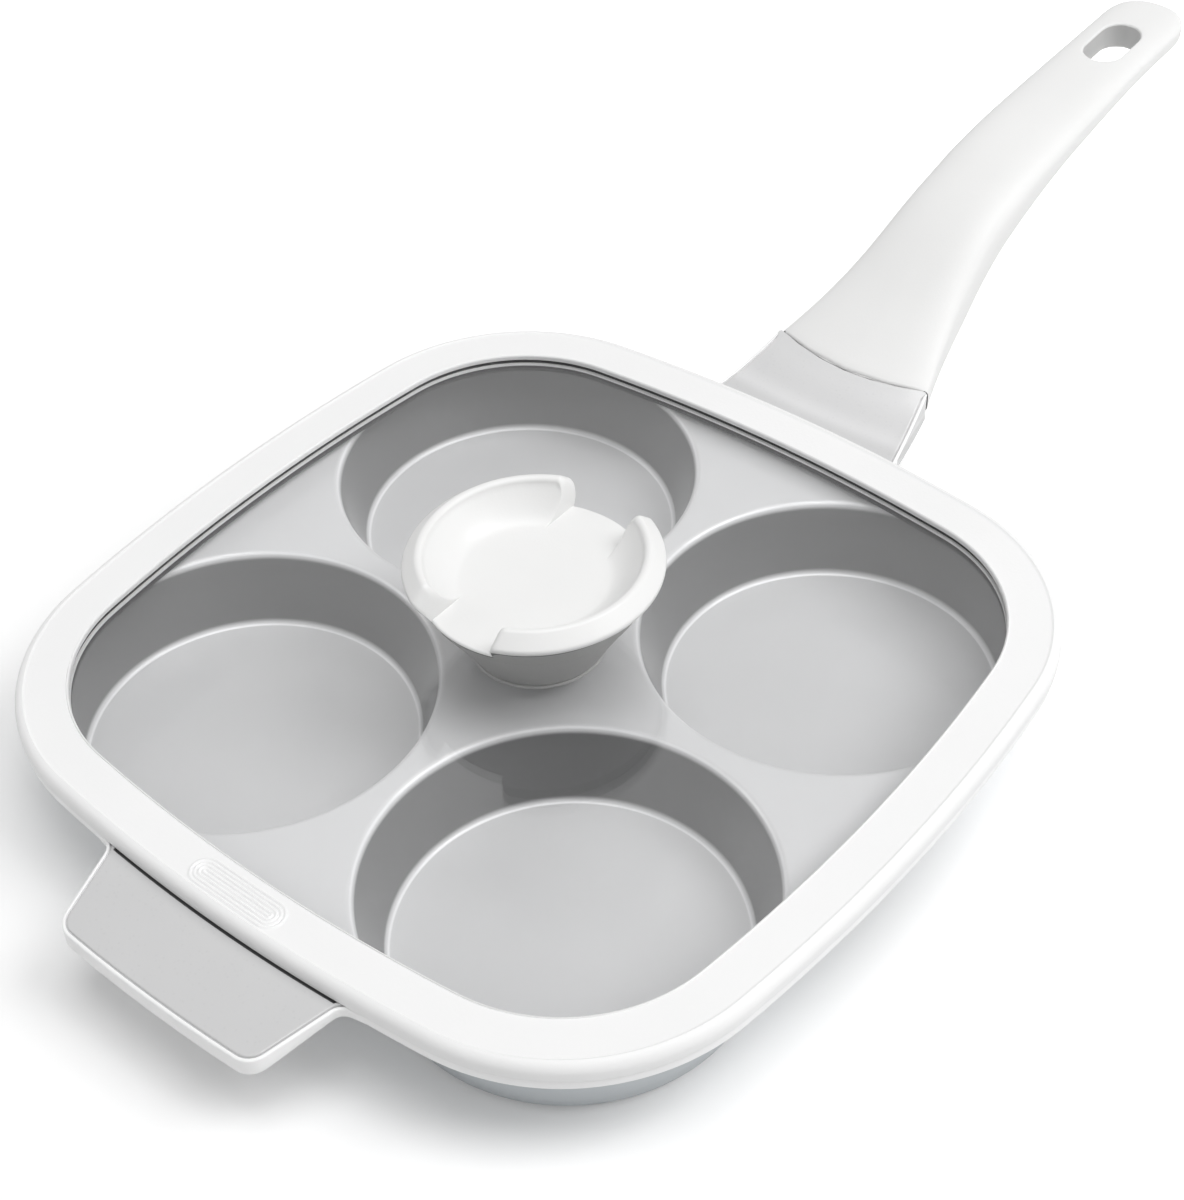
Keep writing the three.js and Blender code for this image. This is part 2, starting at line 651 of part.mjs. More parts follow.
// The crest is open on two sides, between radial faces, with the dish's floor running out through the gap
function crestGap() {
  const slope = Math.tan(THREE.MathUtils.degToRad(CREST_GAP_ANGLE / 2));
  const aboveZ = crestZ + CREST_ROUND;
  const ringAt = (y) => [[-1, dishFloorZ], [1, dishFloorZ], [1, aboveZ], [-1, aboveZ]]
    .map(([side, z]) => new THREE.Vector3(side * slope * y, y, z));
  return skin([ringAt(DISH_FLOOR_RADIUS / 2), ringAt(DISH_RADIUS + CREST_ROUND)], false);
}

function knobStem() {
  const cavityBottomZ = bossBottomZ - FIT_GAP;
  const bore = KNOB_SCREW_RADIUS + SCREW_CLEARANCE;
  const topZ = dishBottomZ - SEAT_GAP;
  return turned([
    [bore, stemBottomZ],
    [STEM_BASE_RADIUS, stemBottomZ],
    [pick(STEM_BASE_RADIUS, STEM_TOP_RADIUS, STEM_SAG), pick(stemBottomZ, topZ, 1 / 2)],
    [STEM_TOP_RADIUS, topZ],
    [BOSS_RADIUS + FIT_GAP, topZ],
    [BOSS_RADIUS + FIT_GAP, cavityBottomZ],
    [bore, cavityBottomZ],
  ]);
}

function knobInsert() {
  return tube(KNOB_SCREW_RADIUS + FIT_GAP, INSERT_RADIUS, insertBottomZ, insertBottomZ + INSERT_LENGTH);
}

function knobSeatRing() {
  const outer = STEM_BASE_RADIUS + SEAT_RING_LAP;
  return tube(glassHole, outer, seatRingBottomZ, seatRingBottomZ + SEAT_RING_THICKNESS);
}

function knobUnderRing() {
  return tube(glassHole, UNDER_RING_RADIUS, underRingTopZ - UNDER_RING_THICKNESS, underRingTopZ);
}

function knobWasher() {
  const bore = KNOB_SCREW_RADIUS + FIT_GAP;
  return tube(bore, KNOB_WASHER_RADIUS, knobWasherTopZ - KNOB_WASHER_THICKNESS, knobWasherTopZ);
}

function knobScrew() {
  const tip = insertBottomZ + KNOB_SCREW_GRIP;
  return screw(KNOB_SCREW_RADIUS, KNOB_SCREW_HEAD_RADIUS, KNOB_SCREW_HEAD_HEIGHT, knobHeadTopZ, tip);
}

// Finishes: colour, roughness, metalness
const GREY_COATING = ['#d4d5d6', 0.45, 0];
const WHITE_MOULDING = ['#ebebeb', 0.55, 0];
const GREY_MOULDING = ['#c9cacb', 0.5, 0];
const WHITE_SILICONE = ['#efefef', 0.7, 0];
const GREY_SILICONE = ['#b9babb', 0.7, 0];
const CLEAR_GLASS = ['#e8eeee', 0.05, 0];
const STEEL = ['#b9bbbd', 0.3, 1];
const BRASS = ['#b8953f', 0.35, 1];

function add(group, name, solid, [color, roughness, metalness]) {
  const material = new THREE.MeshStandardMaterial({ color, roughness, metalness });
  const mesh = new THREE.Mesh(toGeometry(solid), material);
  mesh.name = name;
  group.add(mesh);
}

const pan = new THREE.Group();
pan.name = 'pan';
add(pan, 'pan_casting', panCasting(), GREY_COATING);
cupCentres.forEach(({ x, y }, n) => {
  const disc = cylinder(DISC_RADIUS, 0, DISC_THICKNESS, CUP_STEPS);
  add(pan, `base_disc_${n + 1}`, disc.translate(x, y, 0), STEEL);
});
add(pan, 'handle_grip', handleGrip(), WHITE_MOULDING);
handleScrewYs.forEach((y, n) => {
  add(pan, `handle_screw_${n + 1}`, handleScrew(y), STEEL);
  add(pan, `handle_washer_${n + 1}`, handleWasher(y), STEEL);
});

const lid = new THREE.Group();
lid.name = 'lid';
add(lid, 'lid_rim', lidRim(), WHITE_SILICONE);
add(lid, 'lid_glass', lidGlass(), CLEAR_GLASS);
add(lid, 'knob_dish', knobDish(), WHITE_MOULDING);
add(lid, 'knob_stem', knobStem(), GREY_MOULDING);
add(lid, 'knob_insert', knobInsert(), BRASS);
add(lid, 'knob_seat_ring', knobSeatRing(), GREY_SILICONE);
add(lid, 'knob_under_ring', knobUnderRing(), GREY_SILICONE);
add(lid, 'knob_washer', knobWasher(), STEEL);
add(lid, 'knob_screw', knobScrew(), STEEL);

const eggPan = new THREE.Group();
eggPan.name = 'four_cup_egg_pan';
eggPan.add(pan, lid);
eggPan.position.y = -(tipY + tabEndY) / 2;

export default eggPan;
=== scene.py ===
"""A four-cup egg pan with a flat glass lid, dressed on its CAD frame. Lengths are in metres, +Z is up."""

import bmesh
import bpy
import numpy as np
from mathutils import Matrix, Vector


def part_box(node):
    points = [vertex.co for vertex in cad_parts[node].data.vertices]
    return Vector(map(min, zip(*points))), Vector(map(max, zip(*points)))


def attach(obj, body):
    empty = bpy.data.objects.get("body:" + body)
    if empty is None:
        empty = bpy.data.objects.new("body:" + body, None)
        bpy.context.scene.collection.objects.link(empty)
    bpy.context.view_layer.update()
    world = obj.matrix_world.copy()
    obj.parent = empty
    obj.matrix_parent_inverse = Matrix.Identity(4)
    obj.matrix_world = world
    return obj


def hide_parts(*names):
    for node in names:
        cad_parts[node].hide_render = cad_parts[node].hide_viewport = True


bl_info = {
    "name": "Four-cup egg pan",
    "version": (1, 0, 0),
    "blender": (4, 5, 0),
    "location": "View3D > Sidebar > Egg pan",
    "description": "Builds the egg pan's visible pieces on the packed frame",
    "category": "Object",
}

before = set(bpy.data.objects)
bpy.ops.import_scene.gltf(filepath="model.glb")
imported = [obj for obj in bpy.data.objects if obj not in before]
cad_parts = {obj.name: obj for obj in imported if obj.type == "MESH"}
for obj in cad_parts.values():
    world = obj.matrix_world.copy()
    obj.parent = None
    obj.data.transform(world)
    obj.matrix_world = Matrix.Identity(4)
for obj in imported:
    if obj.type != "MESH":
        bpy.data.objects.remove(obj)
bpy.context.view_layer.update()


def measured(node):
    """Middle across and along, half-width, bottom and top of a CAD node's box."""
    low, high = (np.array(corner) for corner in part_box(node))
    x, y = (low + high)[:2] / 2
    return x, y, (high[0] - low[0]) / 2, low[2], high[2]


QUARTER = np.pi / 2
# Distance below which points are merged, and the gap between the stem and the dish
MERGED, STEM_PLAY = 4e-6, 0.00002
# How far from its middle a plain side of the outline has more points
SIDE_ZONE = 0.03
# Slack when places are compared
SLACK = 1e-8
_, AXIS_Y, LID_REACH, RIM_BOTTOM, RIM_TOP = measured("lid_rim")
CUP_OFFSET, _, DISC_RADIUS, _, DISC_TOP = measured("base_disc_4")
_, _, DISH_RADIUS, _, DISH_TOP = measured("knob_dish")
GLASS_BOTTOM, GLASS_TOP = measured("lid_glass")[3:]
STEM_BOTTOM, STEM_TOP = measured("knob_stem")[3:]
CAST_BOTTOM = measured("pan_casting")[3]
GRIP_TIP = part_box("handle_grip")[1][1] - AXIS_Y


def length(name, description, default):
    return bpy.props.FloatProperty(
        name=name, description=description, default=default, unit="LENGTH", precision=4)


def angle(name, description, degrees):
    return bpy.props.FloatProperty(
        name=name, description=description, default=np.radians(degrees), unit="ROTATION")


def number(name, description, default):
    return bpy.props.FloatProperty(name=name, description=description, default=default, precision=3)


def colour(name, description, default):
    return bpy.props.FloatVectorProperty(
        name=name, description=description, default=default, subtype="COLOR", min=0, max=1)


class PanSizes(bpy.types.PropertyGroup):
    """Sizes of the cast pan."""
    cup_mouth: length("Cup mouth", "Radius of a cup where its wall meets the deck", 0.0528)
    cup_depth: length("Cup depth", "From the deck down to a cup's floor", 0.0215)
    cup_lean: length("Cup lean", "How far a cup's wall leans in from mouth to floor", 0.0066)
    cup_fillet: length("Cup fillet", "Round between a cup's floor and its wall", 0.0016)
    cup_lip: length("Cup lip", "Round between a cup's wall and the deck", 0.0022)
    lip_room: length("Lip room", "Deck kept outside a cup's lip where there is little room", 0.0002)
    cup_wall: length("Cup wall", "Thickness of a cup's wall", 0.0024)
    foot_round: length("Foot round", "Round under a cup's outer edge", 0.0038)
    disc_play: length("Disc play", "Gap round a disc, and the bevel of its recess", 0.0003)
    disc_roof: length("Disc roof", "Gap above a disc", 0.0001)
    deck_margin: length("Deck margin", "Deck between a cup's mouth and the tray's wall at a corner", 0.0012)
    deck_drop: length("Deck drop", "From the flange's top down to the deck", 0.0038)
    deck_thickness: length("Deck thickness", "Thickness of the deck between the cups", 0.003)
    lid_overhang: length("Lid overhang", "How far the lid reaches past the flange", 0.0004)
    flange_width: length("Flange width", "Width of the flange that carries the lid", 0.0058)
    flange_thickness: length("Flange thickness", "Thickness of the flange", 0.0034)
    flange_level: length("Flange level", "Height of the flange's top", 0.0286)
    tray_wall: length("Tray wall", "Thickness of the wall round the deck", 0.0022)
    tray_fillet: length("Tray fillet", "Round between the deck and the wall round it", 0.0004)
    tray_lip: length("Tray lip", "Round between the wall round the deck and the flange", 0.0008)
    edge_round: length("Edge round", "Round along the casting's upper edges", 0.0005)
    edge_band: length("Edge band", "Width of the white band along the casting's upper edges", 0.0009)
    groove: length("Groove", "Width and depth of the line between coating and white band", 0.0004)
    tab_root: length("Tab root", "Half-width of the helper tab at the flange", 0.04)
    tab_end: length("Tab end", "Half-width of the helper tab at its end", 0.0335)
    tab_length: length("Tab length", "How far the helper tab reaches past the flange", 0.0235)
    tab_drop: length("Tab drop", "How far the helper tab slopes down", 0.003)
    tab_thickness: length("Tab thickness", "Thickness at the helper tab's end", 0.0058)
    tab_bow: length("Tab bow", "How far the helper tab's end bows out", 0.001)
    tab_fillet: length("Tab fillet", "Fillet at the helper tab's root", 0.004)
    tab_corner: length("Tab corner", "Round of the helper tab's corners", 0.0065)
    lug_root: length("Lug root", "Half-width of the handle lug at the flange", 0.0326)
    lug_joint: length("Lug joint", "Half-width of the handle lug at the joint", 0.0267)
    lug_length: length("Lug length", "From the lid's edge to the joint", 0.027)
    lug_start: length("Lug start", "From the lid's edge to where the lug starts to rise", 0.0006)
    lug_ease: length("Lug ease", "Length over which the lug's rise sets in", 0.0012)
    # Painted shade: from here on, the lug's white side takes the grey coating
    lug_side_shade_start: length("Lug white", "From the lid's edge to where the lug's side is coated", 0.004)
    lug_corner: length("Lug corner", "Round of the lug's corners at the joint", 0.0009)
    lug_fillet: length("Lug fillet", "Fillet at the lug's root", 0.002)
    lug_rise: length("Lug rise", "How far the lug's top rises to the joint", 0.0086)
    lug_slope: number("Lug slope", "Slope of the lug's top where it leaves the lid", 0.16)
    lug_depth: length("Lug depth", "Depth of the lug at the joint", 0.01)
    joint_bow: length("Joint bow", "How far the joint line bows towards the pan", 0.0052)


class HandleSizes(bpy.types.PropertyGroup):
    """Sizes of the moulded grip."""
    joint_gap: length("Joint gap", "Open line between lug and grip", 0.0004)
    joint_round: length("Joint round", "Round along the grip's edge at the joint", 0.0008)
    rise: length("Rise", "From the joint's top up to the tip's top", 0.0432)
    start_share: number("Start reach", "Share of the length that the first curve handle reaches", 0.37)
    start_slope: number("Start slope", "Slope of the top at the joint", 0.47)
    end_share: number("End reach", "Share of the length that the last curve handle reaches", 0.84)
    end_slope: number("End slope", "Slope of the top at the tip", 0.056)
    half_width: length("Half-width", "Half the grip's width where its flare ends", 0.016)
    end_half_width: length("End half-width", "Half the grip's width at the hanging hole", 0.0133)
    flare: length("Flare", "Length over which the grip widens to the joint", 0.062)
    belly_depth: length("Belly depth", "Depth at the belly under the screws", 0.0188)
    belly_distance: length("Belly distance", "From the joint to the belly", 0.038)
    depth: length("Depth", "Depth along the straight part", 0.0116)
    end_depth: length("End depth", "Depth at the hanging hole", 0.0088)
    tip_round: length("Tip round", "Length of the rounded tip", 0.0155)
    tip_square: number("Tip squareness", "Power of the tip's outline seen from above", 2.8)
    tip_thinning: number("Tip thinning", "Share of the depth lost at the tip", 0.6)
    top_square: number("Top squareness", "Power of the section's upper half", 3.1)
    bottom_square: number("Bottom squareness", "Power of the section's lower half", 4.5)
    joint_top_square: number("Joint top squareness", "Power of the upper half at the joint", 7.0)
    joint_bottom_square: number("Joint bottom squareness", "Power of the lower half at the joint", 5.0)
    hole_length: length("Hole length", "Length of the hanging hole", 0.0232)
    hole_width: length("Hole width", "Width of the hanging hole", 0.013)
    hole_margin: length("Hole margin", "From the hanging hole to the tip", 0.0186)
    hole_round: length("Hole round", "Round along the hanging hole's edges", 0.0007)
    screw_recess: length("Screw recess", "Radius of the recess round a screw head", 0.005)
    screw_seat: length("Screw seat", "From a washer's top to the recess's roof", 0.0001)


class LidSizes(bpy.types.PropertyGroup):
    """Sizes of the silicone ring and the pane."""
    skirt: length("Skirt", "Height of the ring's outer skirt", 0.00528)
    top_round: length("Top round", "Round of the ring's outer upper edge", 0.003)
    bottom_round: length("Bottom round", "Round of the skirt's lower edge", 0.0004)
    lip_width: length("Lip width", "Width of the ring seen from above", 0.0146)
    lip_round: length("Lip round", "Round of the lip's inner edge", 0.0007)
    plug_inset: length("Plug inset", "From the lid's edge to the plug's outer face", 0.007)
    plug_round: length("Plug round", "Round of the plug's lower edges", 0.0006)
    slot_inset: length("Slot inset", "From the lid's edge to the bottom of the glass slot", 0.0087)
    slot_play: length("Slot play", "Gap between the glass and its slot", 0.00005)
    # Painted shade: the slot's lower face is dark up to this far back from the lip's inner edge
    gap_shade_inset: length("Seal inset", "From the lip's inner edge back to the dark seal", 0.0008)
    pane_inset: length("Pane inset", "From the lid's edge to the glass's edge", 0.009)
    pane_hole: length("Pane hole", "Radius of the glass's hole for the knob's screw", 0.0034)
    pane_bevel: length("Pane bevel", "Bevel along the glass's edges", 0.0004)
    grip_length: length("Thumb grip length", "Length of the ridged thumb grip", 0.031)
    grip_width: length("Thumb grip width", "Width of the ridged thumb grip", 0.009)
    grip_inset: length("Thumb grip inset", "From the lid's edge to the thumb grip's middle", 0.0076)
    grip_ridges: bpy.props.IntProperty(
        name="Thumb grip ridges", description="Number of ridges inside each other", default=4, min=1)
    grip_height: length("Thumb grip height", "Height of a ridge", 0.00036)


class KnobSizes(bpy.types.PropertyGroup):
    """Sizes of the dish-shaped knob."""
    floor_radius: length("Floor radius", "Radius of the dish's flat floor", 0.0195)
    floor_drop: length("Floor drop", "From the crest down to the floor's edge", 0.0096)
    floor_depth: length("Floor depth", "From the floor's edge down to the foot of the skirt", 0.002)
    floor_dip: length("Floor dip", "How far the floor dips to its middle", 0.0004)
    edge_drop: length("Edge drop", "From the crest down to the outer edge", 0.0038)
    edge_round: length("Edge round", "Round of the outer edge", 0.0013)
    edge_lip: length("Edge lip", "From the outer edge's round in to the skirt", 0.0006)
    crest_radius: length("Crest radius", "Radius of the crest's middle", 0.03)
    crest_round: length("Crest round", "Round of the crest's top", 0.0014)
    face_power: number("Face power", "Power by which the crest's inner face climbs from the floor", 1.7)
    gap_half: length("Gap half-width", "Half the width of each straight-sided gap in the crest", 0.0104)
    gap_ease: angle("Gap ease", "Width over which the crest falls to the gap", 7.0)
    gap_edge: length("Gap edge", "Round where the floor runs out through a gap", 0.0007)
    stem_top: length("Stem top", "Radius of the stem under the dish", 0.0292)
    stem_base: length("Stem base", "Radius of the stem on the glass", 0.0185)
    stem_bevel: length("Stem bevel", "Bevel at the stem's foot", 0.0001)


class FittingSizes(bpy.types.PropertyGroup):
    """Sizes of the discs, the fasteners and the knob's rings."""
    disc_bevel: length("Disc bevel", "Bevel of a disc's lower edge", 0.0004)
    press_half: length("Press half-width", "Half the width of a ring pressed into a disc", 0.0007)
    press_depth: length("Press depth", "Depth of a ring pressed into a disc", 0.00025)
    handle_head: length("Handle screw head", "Height of a handle screw's head", 0.0022)
    knob_head: length("Knob screw head", "Height of the knob screw's head", 0.0014)
    washer_bore: number("Washer bore", "Share of a washer's radius that is open", 0.55)
    washer_bevel: length("Washer bevel", "Bevel of a washer's edges", 0.0002)
    seat_bevel: length("Seat ring bevel", "Bevel of the ring between knob and glass", 0.0003)
    under_bevel: length("Under ring bevel", "Bevel of the ring under the glass", 0.0002)


class Finishes(bpy.types.PropertyGroup):
    """Colours of the finishes, and shares of tone that paint light and shade."""
    coating: colour("Coating", "Satin grey coating of the tab and the lug", (0.68, 0.68, 0.684))
    tray: colour("Tray", "Satin light grey coating of the deck and the cups", (0.652, 0.656, 0.664))
    # Painted shade and highlights in the cups: floors and walls darker than the deck, and bright lines
    # along the rounded edges
    cup_floor_painted_shade: number("Floor tone", "Share of the tray's tone on the cups' floors", 0.92)
    cup_wall_painted_shade: number("Wall tone", "Share of the tray's tone on the cups' walls", 0.25)
    cup_line_painted_highlight: number("Line tone", "Share of the tray's tone along the cups' rounded edges", 1.28)
    shade_drop: length("Shade drop", "From the deck down to where the cups' shading ends", 0.0001)
    # Painted light and shade: the tab darker than the lug, and a lighter band on the lug as painted
    # highlight
    tab_painted_shade: number("Tab tone", "Share of the coating's tone on the tab, below the lug", 0.82)
    lug_climb: length("Lug climb", "Height over which the lug's tone changes", 0.007)
    enamel: colour("Enamel", "White enamel of the casting's edges", (0.9, 0.9, 0.9))
    body: colour("Body", "Blue-grey coating under the pan", (0.50, 0.53, 0.55))
    moulding: colour("Moulding", "White plastic of grip and knob", (0.785, 0.785, 0.78))
    # Painted shade: the hanging hole's wall is darker than the grip
    hole_painted_shade: number("Hole tone", "Share of the moulding's tone on the hanging hole's wall", 0.72)
    silicone: colour("Silicone", "White silicone of the lid's ring", (0.83, 0.83, 0.83))
    # Near-black painted shade where shade falls: the ring's slot and plug under the lip, the sunk line at
    # the tab's root, and the grip's joint
    painted_gap_shade: colour("Gap_shade", "Dark seal between the ring and the glass", (0.06, 0.06, 0.062))
    stem: colour("Stem", "Grey plastic under the knob's dish", (0.36, 0.36, 0.355))
    # Painted shadow: the band just under the knob dish's rim is darker, for the rim's shadow
    rim_shadow_tone: number("Groove tone", "Share of the stem's tone in the line under the dish's rim", 0.5)
    gasket: colour("Gasket", "Grey silicone of the knob's rings", (0.45, 0.45, 0.447))
    steel: colour("Steel", "Steel of discs, screws and washers", (0.62, 0.63, 0.64))
    brass: colour("Brass", "Brass of the knob's insert", (0.56, 0.40, 0.14))
    glass: colour("Glass", "Tint of the pane", (0.975, 0.975, 0.975))


class StageSettings(bpy.types.PropertyGroup):
    """Floor, surroundings and camera."""
    floor: colour("Floor", "Colour of the floor", (0.88, 0.88, 0.88))
    floor_half: length("Floor half-width", "From the floor's middle to its edges", 4.0)
    glow: number("Glow", "Glow of the floor to the camera where the shadow lies", 0.11)
    glow_x: length("Glow across", "Across, the point where the floor glows least", -0.1)
    glow_y: length("Glow along", "Along, the point where the floor glows least", -0.21)
    glow_near: length("Glow near", "Distance from that point where the floor starts to fade to white", 0.22)
    glow_far: length("Glow far", "Distance from that point where the floor is white", 0.6)
    ambient: number("Ambient", "Strength of the surroundings as light on the object", 0.33)
    picture_height: number("Picture height", "Height of the photograph in pixels", 1200.0)
    picture_width: number("Picture width", "Width of the photograph in pixels", 1184.0)
    focal: number("Focal length", "Focal length in pixels of the photograph", 2242.36)
    middle_x: number("Middle across", "Pixel column on the camera's axis", 538.385)
    middle_y: number("Middle down", "Pixel row on the camera's axis", 635.684)
    azimuth: angle("Azimuth", "Turn of the camera from -Y towards +X", 42.769)
    elevation: angle("Elevation", "Height of the camera as an angle", 43.609)
    roll: angle("Roll", "Roll of the camera", -3.693)
    distance: length("Distance", "From the lid's middle to the camera", 0.59894)


class EggPanSettings(bpy.types.PropertyGroup):
    """All settings of the egg pan."""
    pan: bpy.props.PointerProperty(type=PanSizes)
    handle: bpy.props.PointerProperty(type=HandleSizes)
    lid: bpy.props.PointerProperty(type=LidSizes)
    knob: bpy.props.PointerProperty(type=KnobSizes)
    fittings: bpy.props.PointerProperty(type=FittingSizes)
    finish: bpy.props.PointerProperty(type=Finishes)
    stage: bpy.props.PointerProperty(type=StageSettings)


# Grids and profiles


def arc(x, y, radius, start, end, count):
    """Points on a circle about (x, y) from the angle start to end, in degrees."""
    turn = np.radians(np.linspace(start, end, count))
    return np.stack([x + radius * np.cos(turn), y + radius * np.sin(turn)], axis=1)


def smooth(share):
    """Eases 0 to 1 with no slope at either end: 3 s^2 - 2 s^3."""
    share = np.clip(share, 0, 1)
    return share * share * (3 - 2 * share)


def mix(a, b, share):
    """The value that lies a share of the way from a to b."""
    return a + (b - a) * share


def sheet(points, wrap=False, finish=0):
    """Quads between neighbouring rows and columns of a grid, with a finish for all, per row or per quad."""
    rows, columns = points.shape[:2]
    at = np.arange(rows * columns).reshape(rows, columns)
    if wrap:
        at = np.concatenate([at, at[:, :1]], axis=1)
    quads = np.stack([at[:-1, :-1], at[:-1, 1:], at[1:, 1:], at[1:, :-1]], axis=-1).reshape(-1, 4)
    finish = np.reshape(finish, (-1, 1)) if np.ndim(finish) < 2 else finish
    bands = np.broadcast_to(finish, (rows - 1, at.shape[1] - 1)).reshape(-1)
    return points.reshape(-1, 3), quads, bands


def mirrored(part):
    """The same quads on the other side of the plane x = 0."""
    points, quads, bands = part
    return points * (-1, 1, 1), quads[:, ::-1], bands


def make_piece(name, parts, materials, body, nodes, sharp=38.0):
    """Joins grids into one mesh, merges points closer than MERGED, and turns its faces outwards."""
    starts = np.cumsum([0] + [len(part[0]) for part in parts])
    points = np.concatenate([part[0] for part in parts]) + (0, AXIS_Y, 0)
    quads = np.concatenate([part[1] + start for part, start in zip(parts, starts)])
    mesh = bpy.data.meshes.new(name)
    mesh.from_pydata(points, [], quads)
    bands = np.concatenate([part[2] for part in parts]).astype(np.int32)
    mesh.polygons.foreach_set("material_index", bands)
    for material in materials:
        mesh.materials.append(material)
    joined = bmesh.new()
    joined.from_mesh(mesh)
    bmesh.ops.remove_doubles(joined, verts=joined.verts, dist=MERGED)
    bmesh.ops.recalc_face_normals(joined, faces=joined.faces)
    joined.to_mesh(mesh)
    joined.free()
    mesh.shade_smooth()
    mesh.set_sharp_from_angle(angle=np.radians(sharp))
    piece = bpy.data.objects.new(name, mesh)
    bpy.context.scene.collection.objects.link(piece)
    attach(piece, body)
    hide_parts(*nodes)


def turned(profile, columns, x=0.0, y=0.0):
    """A profile of radius and height carried round the vertical axis through (x, y)."""
    turn = np.linspace(0, 2 * np.pi, columns, endpoint=False)
    radius, height = np.asarray(profile, float).T
    points = np.stack([
        x + radius[:, None] * np.cos(turn),
        y + radius[:, None] * np.sin(turn),
        np.broadcast_to(height[:, None], (len(height), columns)),
    ], axis=-1)
    return sheet(points, True)


def outline(turn, inset, pan):
    """Point of the lid's edge whose outward normal has the angle turn, drawn in by inset.

    The edge is a square with bowed sides and corners concentric with the cups, so a side is an arc about a
    centre on the axis, a corner is an arc about a cup's centre, and drawing in shortens both radii."""
    corner_radius, bow_radius, bow_centre, half = edge_arcs(pan)
    side = np.round(turn / QUARTER)
    local = turn - side * QUARTER
    bowed = np.abs(local) <= half
    radius = np.where(bowed, bow_radius, corner_radius) - inset
    x = np.where(bowed, bow_centre, CUP_OFFSET) + radius * np.cos(local)
    y = np.where(bowed, 0, np.sign(local) * CUP_OFFSET) + radius * np.sin(local)
    c, s = np.cos(side * QUARTER), np.sin(side * QUARTER)
    return np.stack([x * c - y * s, x * s + y * c], axis=-1)


def edge_arcs(pan):
    """Corner radius, side radius, the side arc's centre and its half angle.

    The side's arc is tangent to both corner arcs, which fixes its radius: with a corner's centre at (c, c),
    (R - r)^2 = c^2 + (c - m)^2, where m = reach - R is the side's centre."""
    corner = pan.cup_mouth + pan.deck_margin + pan.lid_overhang + pan.flange_width
    gap = LID_REACH - CUP_OFFSET
    bow = (CUP_OFFSET ** 2 + gap ** 2 - corner ** 2) / (2 * (gap - corner))
    return corner, bow, LID_REACH - bow, np.arcsin(CUP_OFFSET / (bow - corner))


def half_side(pan, zone, zone_count, rest_count):
    """Normal angles along half a side, closer together up to the distance zone from its middle."""
    _, bow, _, half = edge_arcs(pan)
    split = np.arcsin(zone / bow)
    rest = np.linspace(split, half, rest_count + 1)[1:]
    return np.concatenate([np.linspace(0, split, zone_count + 1), rest])


def round_trip(pan, front, right, back, corner_count):
    """Normal angles of the outline's four quarters and of all its points, counted from +X.

    They come from the half-side angles of three sides, and the left side is like the right one."""
    half = edge_arcs(pan)[3]
    corner = np.linspace(half, QUARTER - half, corner_count + 1)[1:-1]
    rear, fore = (np.concatenate([right, corner, QUARTER - side[::-1]]) for side in (back, front))
    quarters = [rear, np.pi - rear[::-1], np.pi + fore, 2 * np.pi - fore[::-1]]
    return quarters, np.concatenate([quarter[:-1] for quarter in quarters])


def rounded(corners, radii, count):
    """An evenly spaced line through corners, each rounded by an arc of its radius."""
    corners = np.asarray(corners, float)
    path = [corners[:1]]
    for before, corner, after, radius in zip(corners, corners[1:], corners[2:], radii):
        to_before = (before - corner) / np.linalg.norm(before - corner)
        to_after = (after - corner) / np.linalg.norm(after - corner)
        half = np.arccos(np.clip(to_before @ to_after, -1, 1)) / 2
        halfway = (to_before + to_after) / np.linalg.norm(to_before + to_after)
        middle = corner + halfway * radius / np.sin(half)
        spokes = np.stack([corner + to * radius / np.tan(half) - middle for to in (to_before, to_after)])
        first, last = np.arctan2(spokes[:, 1], spokes[:, 0])
        sweep = (last - first + np.pi) % (2 * np.pi) - np.pi
        turn = first + sweep * np.linspace(0, 1, 13)
        path.append(middle + radius * np.stack([np.cos(turn), np.sin(turn)], axis=1))
    path = np.concatenate([*path, corners[-1:]])
    along = np.concatenate([[0], np.cumsum(np.linalg.norm(np.diff(path, axis=0), axis=1))])
    even = np.linspace(0, along[-1], count)
    return np.stack([np.interp(even, along, path[:, axis]) for axis in (0, 1)], axis=1)


# Finishes

# How rough, even, grainy, flecked and glossy each painted or moulded finish is
COATED = {
    "roughness": 0.34, "spread": 0.04, "drift": 0.02, "grain": 1400.0, "depth": 0.00002, "flecks": 0.1}
SATINS = {
    "satin_coating": {**COATED, "coat": 0.5},
    "tray_coating": {**COATED, "coat": 0.6},
    "white_enamel": {"roughness": 0.38, "drift": 0.02, "grain": 700.0, "depth": 0.00002},
    "body_coating": {"roughness": 0.42, "drift": 0.03, "grain": 700.0, "depth": 0.00003},
    "seam_line": {"roughness": 0.6, "drift": 0.05, "grain": 800.0, "depth": 0.00004},
    "grip_plastic": {"roughness": 0.46, "drift": 0.015, "grain": 1500.0, "depth": 0.00003},
    "hole_wall": {"roughness": 0.6, "drift": 0.015, "grain": 1500.0, "depth": 0.00003},
    "ring_silicone": {"roughness": 0.55, "drift": 0.012, "grain": 1100.0, "depth": 0.00004},
    "knob_plastic": {"roughness": 0.4, "drift": 0.015, "grain": 1500.0, "depth": 0.00002},
    "stem_plastic": {"roughness": 0.45, "drift": 0.02, "grain": 1500.0, "depth": 0.00002},
    "rim_groove": {"roughness": 0.6, "drift": 0.02, "grain": 1500.0, "depth": 0.00002},
    "gasket_silicone": {"roughness": 0.6, "drift": 0.02, "grain": 900.0, "depth": 0.00004},
}
COAT_ROUGHNESS = 0.12
BROAD_SCALE, FLECK_SCALE, FLECK_TONE = 22.0, 620.0, 0.55
# Distance between the rings of a wave texture at scale 1
WAVE_PITCH = 0.314


